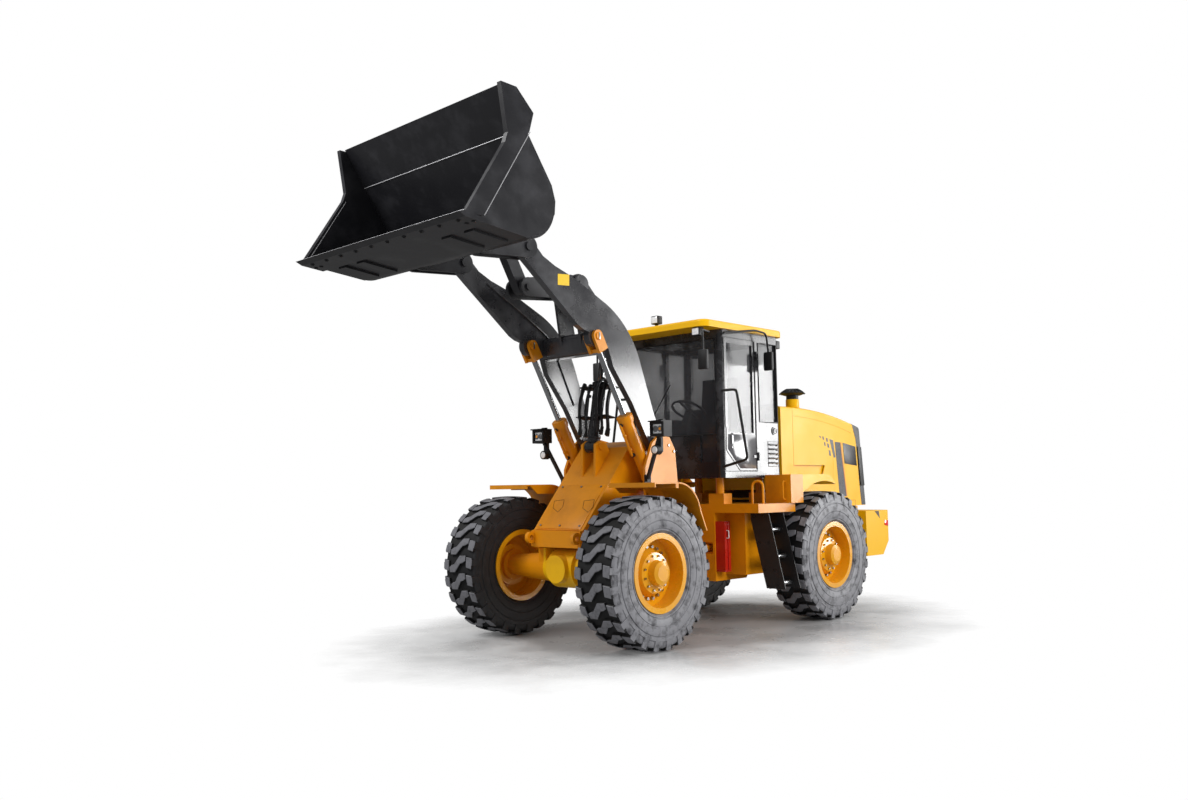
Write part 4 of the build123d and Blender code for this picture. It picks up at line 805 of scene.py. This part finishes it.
cab = {
    "side": 0.650,
    "louvres": {"front": -0.928, "rear": -1.097, "low": 1.675, "step": 0.050, "count": 5},
    "doorPanel": [(-0.690, 1.990), (-0.205, 1.990), (-0.195, 1.835), (-0.405, 1.632), (-0.690, 1.632)],
    "doorSeal": [(-0.172, 2.060), (-0.166, 1.822), (-0.398, 1.607), (-0.705, 1.607)],
    "doorUprights": [(-0.155, 2.06), (-0.698, 1.62)],
    "mirrorArms": [
        [(0.120, 0.680, 3.030), (0.292, 0.720, 3.030), (0.300, 0.740, 2.960), (0.300, 0.740, 2.735)],
        [(-0.120, 0.690, 3.042), (-0.620, 0.730, 3.110), (-0.800, 0.745, 3.090), (-0.835, 0.745, 2.900),
         (-0.835, 0.745, 2.800)],
    ],
    # each work lamp's place, and 1 where it faces forward
    "workLamps": [(0.120, -0.020, 3.232, 1), (0.150, 0.560, 3.040, 1), (0.150, -0.560, 3.040, 1),
                  (-1.225, 0.560, 3.020, -1), (-1.225, -0.560, 3.020, -1)],
    "quarterWindow": [(-1.106, 2.134), (-0.769, 2.134), (-0.769, 2.996), (-1.106, 2.996), (-1.106, 2.134)],
    "windscreen": [(-0.576, 1.994), (0.576, 1.994), (0.576, 2.996), (-0.576, 2.996), (-0.576, 1.994)],
}
bm = bmesh.new()
side = cab["side"]
rows = cab["louvres"]
for hand in (1, -1):
    for i in range(rows["count"]):    # a lip turned out over each louvre
        low = rows["low"] + rows["step"] * i + 0.024
        lip = ((side - 0.002, low + 0.006), (side - 0.002, low), (side + 0.018, low - 0.009),
               (side + 0.016, low - 0.014))
        addSloped(bm, [at(x, hand * y, z) for x in (rows["front"], rows["rear"]) for y, z in lip])
    near, far = rows["front"] + 0.014, rows["rear"] - 0.014
    seam = [(near, 1.655), (near, 1.925), (far, 1.925), (far, 1.655), (near, 1.655)]
    addTube(bm, [at(x, hand * side, z) for x, z in seam], 0.004, 6)
    addDisc(bm, at(-1.040, hand * (side + 0.012), 2.045), (0, hand, 0), 0.032, 0.012, 20, 0.003)
    addDisc(bm, at(-1.040, hand * (side + 0.020), 2.045), (0, hand, 0), 0.012, 0.010, 12, 0.002)
finishPiece(bm, "cabLouvreLips", "panelGloss", "rear")

bm = bmesh.new()
addPrism(bm, cab["doorPanel"], side - 0.0045, side + 0.0035, 0.003)
finishPiece(bm, "doorPanel", "panelGloss", "door")
bm = bmesh.new()
addBlock(bm, at(-0.272, side + 0.0125, 1.888), at(-0.243, side + 0.018, 1.978), 0.002)
addDisc(bm, at(-0.258, side + 0.006, 1.850), (0, 1, 0), 0.010, 0.012, 14, 0.002)
finishPiece(bm, "doorHandleTrim", "bareSteel", "door")

bm = bmesh.new()
addTube(bm, [at(x, side + 0.001, z) for x, z in cab["doorSeal"]], 0.004, 6, 0.02)
for x, low in cab["doorUprights"]:
    addTube(bm, [at(x, side + 0.002, low), at(x, side + 0.002, 3.00)], 0.005, 6)
finishPiece(bm, "doorSeals", "hoseRubber", "door")

bm = bmesh.new()
for arm in cab["mirrorArms"]:
    for hand in (1, -1):
        addTube(bm, [at(x, hand * y, z) for x, y, z in arm], 0.011, 8, 0.05)
        x, y, z = arm[-1]
        y = hand * y
        addBlock(bm, at(x - 0.022, y - 0.055, z - 0.11), at(x + 0.022, y + 0.055, z + 0.09), 0.012)
for x, y, z, facing in cab["workLamps"]:
    addBlock(bm, at(x - 0.040, y - 0.050, z - 0.045), at(x + 0.040, y + 0.050, z + 0.045), 0.010)
    low, high = (-0.075, 0) if z > 3.2 else (0.03, 0.075)    # a foot on the roof, or a hanger below it
    addBlock(bm, at(x - 0.012, y - 0.014, z + low), at(x + 0.012, y + 0.014, z + high))
finishPiece(bm, "mirrorsAndLamps", "blackPlastic", "rear")
bm = bmesh.new()
for x, y, z, facing in cab["workLamps"]:
    front = x + facing * 0.041
    addBlock(bm, at(front - 0.004, y - 0.040, z - 0.034), at(front + 0.004, y + 0.040, z + 0.034), 0.003)
finishPiece(bm, "workLampLenses", "clearLens", "rear")

bm = bmesh.new()
for hand in (1, -1):    # window seals
    addTube(bm, [at(x, hand * (side + 0.001), z) for x, z in cab["quarterWindow"]], 0.007, 6)
addTube(bm, [at(-0.099, y, z) for y, z in cab["windscreen"]], 0.008, 6)
addTube(bm, [at(-0.085, -0.40, 2.05), at(-0.085, -0.02, 2.55)], 0.006, 6)    # wiper
addBlock(bm, at(-0.100, -0.46, 2.00), at(-0.075, -0.36, 2.06), 0.008)
finishPiece(bm, "windowSeals", "hoseRubber", "rear")
print("cab trimmed")


# Steps, deck and counterweight

steps = {
    "rungs": [(0.990, 0.900), (0.718, 0.965), (0.450, 1.020)],    # height, and distance from the middle
    "ridges": [-0.695 + i * 0.0245 for i in range(9)],
    "boltX": (-0.4640, -0.7410),
    "boltZ": (1.13, 0.86, 0.585, 0.43),
}
bm = bmesh.new()
for z, y in steps["rungs"]:
    for hand in (1, -1):
        addDisc(bm, at(-0.5975, hand * y, z), (1, 0, 0), 0.0212, 0.232, 20, 0.002)
        for x in steps["ridges"]:
            addDisc(bm, at(x, hand * y, z), (1, 0, 0), 0.0232, 0.007, 20)
finishPiece(bm, "rungSleeves", "rungAluminium", "rear")

bm = bmesh.new()
for hand in (1, -1):
    for x in steps["boltX"]:
        for z in steps["boltZ"]:
            y = 0.800 + (1.17 - z) * 0.22    # the ladder leans out towards its foot
            for shift in (-0.045, 0.075):
                addDisc(bm, at(x, hand * (y + shift), z), (1, 0, 0), 0.009, 0.008, 6)
finishPiece(bm, "stepBolts", "bareSteel", "rear")

bm = bmesh.new()
loop = [(0.5205, 0.985), (0.548, 0.985), (0.548, 0.905), (0.5205, 0.905)]
addTube(bm, [at(-0.305, y, z) for y, z in loop], 0.006, 8, 0.02)
finishPiece(bm, "lockBarLoop", "whitePaint", "rear")
bm = bmesh.new()
addBlock(bm, at(-0.372, 0.402, 0.555), at(-0.270, 0.522, 0.573), 0.003)
addBlock(bm, at(-0.330, 0.5205, 0.580), at(-0.318, 0.532, 1.075), 0.002)
finishPiece(bm, "lockBarEnds", "redPaint", "rear")

weight = {
    "side": 0.865,
    "rear": -3.090,
    "notch": [(-2.777, 1.122), (-2.873, 1.122), (-2.891, 1.035)],
    "reflector": [(-3.006, 1.010), (-3.086, 1.003), (-3.086, 0.936), (-3.000, 0.950)],
}
# a brown triangle on each side of the counterweight: painted shade standing for the inside of a notch
bm = bmesh.new()
bothSides(bm, weight["notch"], weight["side"] + 0.0003, weight["side"] + 0.0018)
finishPiece(bm, "weightNotchShades", "seamBrown", "rear")
bm = bmesh.new()
bothSides(bm, weight["reflector"], weight["side"] + 0.0003, weight["side"] + 0.0040, 0.001)
for hand in (1, -1):
    addFacing(bm, hand, weight["rear"] - 0.0045, weight["rear"] - 0.0003, (0.700, 0.850, 0.940, 1.005), 0.001)
finishPiece(bm, "weightReflectors", "redLens", "rear")
print("rear dressed")


# Nose, cylinders and head lamps of the front frame

nose = {
    "top": (0.985, 1.850),
    "foot": (1.640, 1.060),
    "plateX": (1.292, 1.632),
    "plateY": (-0.298, 0.298),
    "dShapes": [(-0.065, 1.420), (0.062, 1.410), (0.098, 1.467), (0.072, 1.508), (-0.030, 1.476)],
    "dOffset": 0.205,
    "bolts": [(y, x) for x in (1.310, 1.612) for y in (-0.265, 0.0, 0.265)],
}
noseRun = Vector((nose["foot"][0] - nose["top"][0], 0, nose["foot"][1] - nose["top"][1]))
noseNormal = Vector((-noseRun.z, 0, noseRun.x)).normalized()


def onNose(y, x, out):
    share = (x - nose["top"][0]) / noseRun.x
    return at(x, y, nose["top"][1] + share * noseRun.z) + noseNormal * out


bm = bmesh.new()
addSloped(bm, [onNose(y, x, out) for x in nose["plateX"] for y in nose["plateY"] for out in (0.0005, 0.0055)])
softenEdges(bm, bm.edges[:], 0.002)
finishPiece(bm, "nosePlate", "amberPaint", "front")

bm = bmesh.new()
for hand in (1, -1):
    ring = [onNose(y + hand * nose["dOffset"], x, 0.0058) for y, x in nose["dShapes"]]
    addTube(bm, ring + [ring[0]], 0.0022, 6, 0.006)
finishPiece(bm, "noseShapes", "seamBrown", "front")
bm = bmesh.new()
for y, x in nose["bolts"]:
    addDisc(bm, onNose(y, x, 0.0095), noseNormal, 0.011, 0.009, 6)
for hand in (1, -1):
    for x, z in ((0.58, 1.80), (0.66, 1.86), (0.90, 1.72), (0.95, 1.40)):
        addDisc(bm, at(x, hand * 0.5665, z), (0, hand, 0), 0.014, 0.010, 6)
finishPiece(bm, "noseBolts", "bareSteel", "front")

collars = {    # places along each barrel from its foot, and radii
    "lift": {"gland": 0.758, "outer": 0.080, "bore": 0.040, "foot": 0.120, "clips": (0.47, 0.62)},
    "tilt": {"gland": 0.626, "outer": 0.078, "bore": 0.045, "foot": 0.100, "clips": (0.28, 0.50)},
}


def addCollars(bm, base, up, collar):    # the gland, the collar at the foot and the clips that hold the pipes
    addRing(bm, base + up * collar["gland"], up, collar["outer"], collar["bore"], 0.050)
    addDisc(bm, base + up * collar["foot"], up, 0.068, 0.030, 28, 0.004)
    for share in collar["clips"]:
        addRing(bm, base + up * share, up, 0.0655, 0.050, 0.022)


liftPipe = [(0.730, 0.060), (0.730, 0.096), (0.400, 0.096), (0.400, 0.058)]    # along the barrel, and out
liftUp = -liftHeading
liftSide = Vector((liftHeading.z, 0, -liftHeading.x))
for place, y in (("left", machine["armY"]), ("right", -machine["armY"])):
    base = at(pins["liftBase"][0], y, pins["liftBase"][1])
    bm = bmesh.new()
    addCollars(bm, base, liftUp, collars["lift"])
    for i in range(8):    # the gland's ring of bolts
        turn = 2 * math.pi * i / 8
        spoke = liftSide * math.cos(turn) + Vector((0, math.sin(turn), 0))
        addDisc(bm, base + liftUp * 0.784 + spoke * 0.06996, liftUp, 0.009, 0.014, 6)
    addTube(bm, [base + liftUp * along - liftSide * out for along, out in liftPipe], 0.013, 10, 0.03)
    for share in collars["lift"]["clips"]:
        addDisc(bm, base + liftUp * share - liftSide * 0.090, liftUp, 0.020, 0.024, 14, 0.003)
    finishPiece(bm, "liftGland_" + place, "amberPaint", "lift_barrel_" + place)
    bm = bmesh.new()
    for share in (0.400, 0.728):
        addDisc(bm, base + liftUp * share - liftSide * 0.080, liftSide, 0.019, 0.030, 6)
    finishPiece(bm, "liftFittings_" + place, "blackPlastic", "lift_barrel_" + place)
    rod = at(pins["liftRod"][0], y, pins["liftRod"][1])
    keyHalf = Vector((0.008, 0.004, 0.034))
    bm = bmesh.new()
    for hand in (1, -1):
        addDisc(bm, rod + Vector((0, hand * 0.0795, 0)), (0, hand, 0), 0.030, 0.010, 24, 0.003)
        key = rod + Vector((0, hand * 0.0855, 0))
        addBlock(bm, key - keyHalf, key + keyHalf, 0.002)
    finishPiece(bm, "forkPins_" + place, "bareSteel", "lift_rod_" + place)

tiltUp = -tiltHeading
tiltSide = Vector((tiltUp.z, 0, -tiltUp.x))
tiltBase = at(pins["tiltBase"][0], 0, pins["tiltBase"][1])


def besideTilt(along, ahead, y):    # a place measured along the tilt cylinder, from its foot
    return tiltBase + tiltUp * along + tiltSide * ahead + Vector((0, y, 0))


bm = bmesh.new()
addCollars(bm, tiltBase, tiltUp, collars["tilt"])
for y in (-0.045, 0.045):
    for share in collars["tilt"]["clips"]:
        addDisc(bm, besideTilt(share, 0.085, y), tiltUp, 0.020, 0.026, 14, 0.003)
    addTube(bm, [besideTilt(0.615, 0.060, y), besideTilt(0.615, 0.100, y), besideTilt(0.180, 0.085, y)],
            0.012, 10, 0.03)
finishPiece(bm, "tiltGland", "cabPaint", "tilt_barrel")

hoseRun = [(0.130, 0.020), (0.200, 0.012), (0.300, 0.055), (0.440, 0.070), (0.560, 0.052), (0.620, 0.030)]
hoseSpread = [(0.040, 0.152), (0.0, 0.190), (-0.045, 0.160), (0.035, -0.155), (-0.010, -0.192),
              (-0.050, -0.150)]
looseHose = [(0.150, 0.090, 0.130), (0.260, 0.150, 0.150), (0.420, 0.190, 0.165), (0.560, 0.210, 0.170),
             (0.660, 0.160, 0.170), (0.640, 0.090, 0.170)]
hoseRoutes = [[besideTilt(along, ahead + lean, y) for along, ahead in hoseRun] for lean, y in hoseSpread]
hoseRoutes.append([besideTilt(*place) for place in looseHose])
addHoses("tiltHoses", hoseRoutes, 0.014, "hoseRubber", "tilt_barrel")
bm = bmesh.new()
for route in hoseRoutes:    # swivel fittings at both ends
    for end, near in ((route[0], route[1]), (route[-1], route[-2])):
        heading = (near - end).normalized()
        addDisc(bm, end, heading, 0.020, 0.044, 6)
        addDisc(bm, end + heading * 0.036, heading, 0.017, 0.046, 16, 0.003)
lean = Matrix.Rotation(-math.atan2(tiltHeading.x, -tiltHeading.z), 3, "Y")
for along in (0.300, 0.605):    # the plates that carry the hoses, clamped round the barrel
    for hand in (1, -1):
        middle = besideTilt(along, 0.0, hand * 0.135)
        low, high = middle - Vector((0.058, 0.077, 0.007)), middle + Vector((0.075, 0.077, 0.007))
        addBlock(bm, low, high, 0.003, lean)
finishPiece(bm, "hoseManifold", "blackPlastic", "tilt_barrel")

headLamp = {    # near and far side, low and high
    "lens": (0.760, 0.880, 1.951, 2.041),
    "rims": [(0.737, 0.759, 1.927, 2.062), (0.881, 0.903, 1.927, 2.062), (0.759, 0.881, 1.927, 1.949),
             (0.759, 0.881, 2.043, 2.062)],
    "marker": (0.838, 0.862, 1.984, 2.008),
    "wire": [(1.045, 0.770, 1.790), (1.030, 0.785, 1.770), (1.035, 0.790, 1.900)],
}
for hand, place in ((1, "left"), (-1, "right")):
    bm = bmesh.new()
    addFacing(bm, hand, 1.1045, 1.118, headLamp["lens"], 0.006)
    addDisc(bm, at(1.110, hand * 0.770, 1.800), (1, 0, 0), 0.036, 0.010, 24, 0.004, 0.030)
    finishPiece(bm, "headLens_" + place, "clearLens", "front")
    bm = bmesh.new()
    for y in (0.795, 0.850):
        addDisc(bm, at(1.119, hand * y, 1.996), (1, 0, 0), 0.030, 0.006, 24, 0.002)
    finishPiece(bm, "headBulbRings_" + place, "bareSteel", "front")
    bm = bmesh.new()
    for rim in headLamp["rims"]:
        addFacing(bm, hand, 1.1305, 1.136, rim, 0.001)
    addTube(bm, [at(x, hand * y, z) for x, y, z in headLamp["wire"]], 0.007, 8, 0.02)
    finishPiece(bm, "headLampRims_" + place, "blackPlastic", "front")
    bm = bmesh.new()
    addFacing(bm, hand, 1.119, 1.1235, headLamp["marker"], 0.001)
    finishPiece(bm, "headMarkers_" + place, "amberLens", "front")
print("front dressed")


# Arm and bucket

bm = bmesh.new()
addPrism(bm, [(1.925, 3.404), (2.070, 3.392), (2.072, 3.290), (1.927, 3.300)], 0.4855, 0.4865)
finishPiece(bm, "blankSticker", "stickerYellow", "boom")
armTrim = {
    "collars": [(0.730, 1.860, 0.088), (2.450, 3.580, 0.076)],    # x and z of the end pins, and radius
    "pipe": [(1.000, 2.300), (1.330, 2.960), (1.700, 3.180), (2.150, 3.420)],
}
bm = bmesh.new()
for hand in (1, -1):
    for x, z, radius in armTrim["collars"]:
        addDisc(bm, at(x, hand * 0.4885, z), (0, hand, 0), radius, 0.007, 32, 0.003)
    addTube(bm, [at(x, hand * 0.408, z) for x, z in armTrim["pipe"]], 0.007, 8, 0.10)
finishPiece(bm, "armTrim", "armPaint", "boom")

bucketTrim = {
    "strapSide": 1.1785,
    "insideCorner": 1.1295,
    "bolts": 10,
    "boltSpan": 2.1,
    "boltHeading": (0.1, 0, -1),
}
bm = bmesh.new()
for hand in (1, -1):    # the bright weld along each side strap and inside the corners
    y = hand * bucketTrim["strapSide"]
    addTube(bm, [at(3.505, y, 3.538), at(3.024, y, 4.305)], 0.0035, 6)
    y = hand * bucketTrim["insideCorner"]
    addTube(bm, [at(3.640, y, 3.560), at(3.262, y, 4.160)], 0.003, 6)
addTube(bm, [at(3.0585, -1.128, 4.330), at(3.0585, 1.128, 4.330)], 0.0035, 6)
addTube(bm, [at(3.700, -1.176, 3.5492), at(3.700, 1.176, 3.5492)], 0.003, 6)
finishPiece(bm, "bucketWelds", "weldBright", "bucket")
bm = bmesh.new()
heading = bucketTrim["boltHeading"]
for i in range(bucketTrim["bolts"]):    # plough bolts of the cutting edge, seen from below
    y = bucketTrim["boltSpan"] * (i / (bucketTrim["bolts"] - 1) - 0.5)
    addDisc(bm, at(3.655, y, 3.4955), heading, 0.020, 0.010, 12, 0.003)
    addDisc(bm, at(3.655, y, 3.4910), heading, 0.011, 0.014, 6)
for hand in (1, -1):
    for y in (1.045, 1.130):
        addDisc(bm, at(3.570, hand * y, 3.486), heading, 0.018, 0.010, 12, 0.003)
finishPiece(bm, "edgeBolts", "markBlack", "bucket")
print("arm and bucket dressed")


# Floor, light and camera

bpy.ops.mesh.primitive_plane_add(size=60, location=(0, 0, -0.002))
floor = bpy.context.object
floor.name = "studioFloor"
floorMaterial, tree, shader = newMaterial("floorGrey")
floorCoords = objectCoords(tree)
shrink = tree.nodes.new("ShaderNodeMapping")    # the patch under the machine, long and narrow, fades to white
shrink.inputs["Location"].default_value = (0.10, 0.0, 0)
shrink.inputs["Scale"].default_value = (0.245, 0.36, 1)
link(tree, floorCoords, shrink.inputs["Vector"])
spread = tree.nodes.new("ShaderNodeVectorMath")
spread.operation = "LENGTH"
link(tree, shrink.outputs[0], spread.inputs[0])
streaks = noiseNode(tree, floorCoords, 0.9, 6, 0.6)
raggedness = rangeNode(tree, streaks, 0.3, 0.7, -0.07, 0.07)
ragged = mathNode(tree, "ADD", spread.outputs["Value"], raggedness)
fade = rangeNode(tree, ragged, 0.50, 1.00, 1.0, 0.0)
link(tree, fade, shader.inputs["Alpha"])
tone = rangeNode(tree, streaks, 0.3, 0.7, 0.34, 0.52)
grey = tree.nodes.new("ShaderNodeCombineXYZ")
for i in range(3):
    link(tree, tone, grey.inputs[i])
link(tree, grey.outputs[0], shader.inputs["Base Color"])
link(tree, rangeNode(tree, streaks, 0.3, 0.7, 0.16, 0.42), shader.inputs["Roughness"])
floor.data.materials.append(floorMaterial)

world = bpy.data.worlds.new("studioWorld")
bpy.context.scene.world = world
world.use_nodes = True
worldTree = world.node_tree
background = worldTree.nodes["Background"]
background.inputs["Color"].default_value = (1, 1, 1, 1)
rays = worldTree.nodes.new("ShaderNodeLightPath")
seen = mathNode(worldTree, "MAXIMUM", rays.outputs["Is Camera Ray"], rays.outputs["Is Transmission Ray"])
plain = rangeNode(worldTree, rays.outputs["Is Glossy Ray"], 0.0, 1.0, 0.46, 0.16)
strength = rangeNode(worldTree, seen, 0.0, 1.0, plain, 1.0)
link(worldTree, strength, background.inputs["Strength"])


def addLamp(name, place, target, size, power):
    lamp = bpy.data.lights.new(name, "AREA")
    lamp.shape = "RECTANGLE"
    lamp.size, lamp.size_y = size
    lamp.energy = power
    holder = putInScene(name, lamp)
    holder.location = place
    holder.rotation_euler = (Vector(target) - Vector(place)).to_track_quat("-Z", "Y").to_euler()
    holder.visible_camera = False
    return holder


addLamp("keyLamp", (7.5, -2.5, 8.5), (0.5, 0, 1.4), (4, 4), 620)
sideLamp = addLamp("sideLamp", (0.0, 10.0, 5.5), (-0.5, 0, 1.2), (6, 4), 640)
sideLamp.visible_glossy = False
addLamp("backLamp", (-9.0, 4.0, 6.0), (-1, 0, 1.2), (5, 5), 340)
sheen = addLamp("sheenPanel", (-8.6, 7.4, 2.3), (-0.3, 0.5, 2.3), (4.8, 3.2), 620)
sheen.visible_diffuse = False    # it shows only as a reflection in the arm, the door and the glass

cameraData = bpy.data.cameras.new("photoCamera")
cameraData.sensor_width = 36
cameraData.lens = 31.41
camera = putInScene("photoCamera", cameraData)
shot = {"place": (8.5002 + pivotX, 7.1675, 1.4631), "yaw": -135.8223, "pitch": 4.7822, "roll": -0.8648}
yaw, pitch, roll = (math.radians(shot[k]) for k in ("yaw", "pitch", "roll"))
ahead = Vector((math.cos(yaw) * math.cos(pitch), math.sin(yaw) * math.cos(pitch), math.sin(pitch)))
right = ahead.cross(Vector((0, 0, 1))).normalized()
above = right.cross(ahead)
rightTilted = right * math.cos(roll) + above * math.sin(roll)
aboveTilted = above * math.cos(roll) - right * math.sin(roll)
turn = Matrix((rightTilted, aboveTilted, -ahead)).transposed()
camera.matrix_world = Matrix.Translation(shot["place"]) @ turn.to_4x4()
bpy.context.scene.camera = camera
bpy.context.scene.view_settings.view_transform = "Standard"
print("stage set")
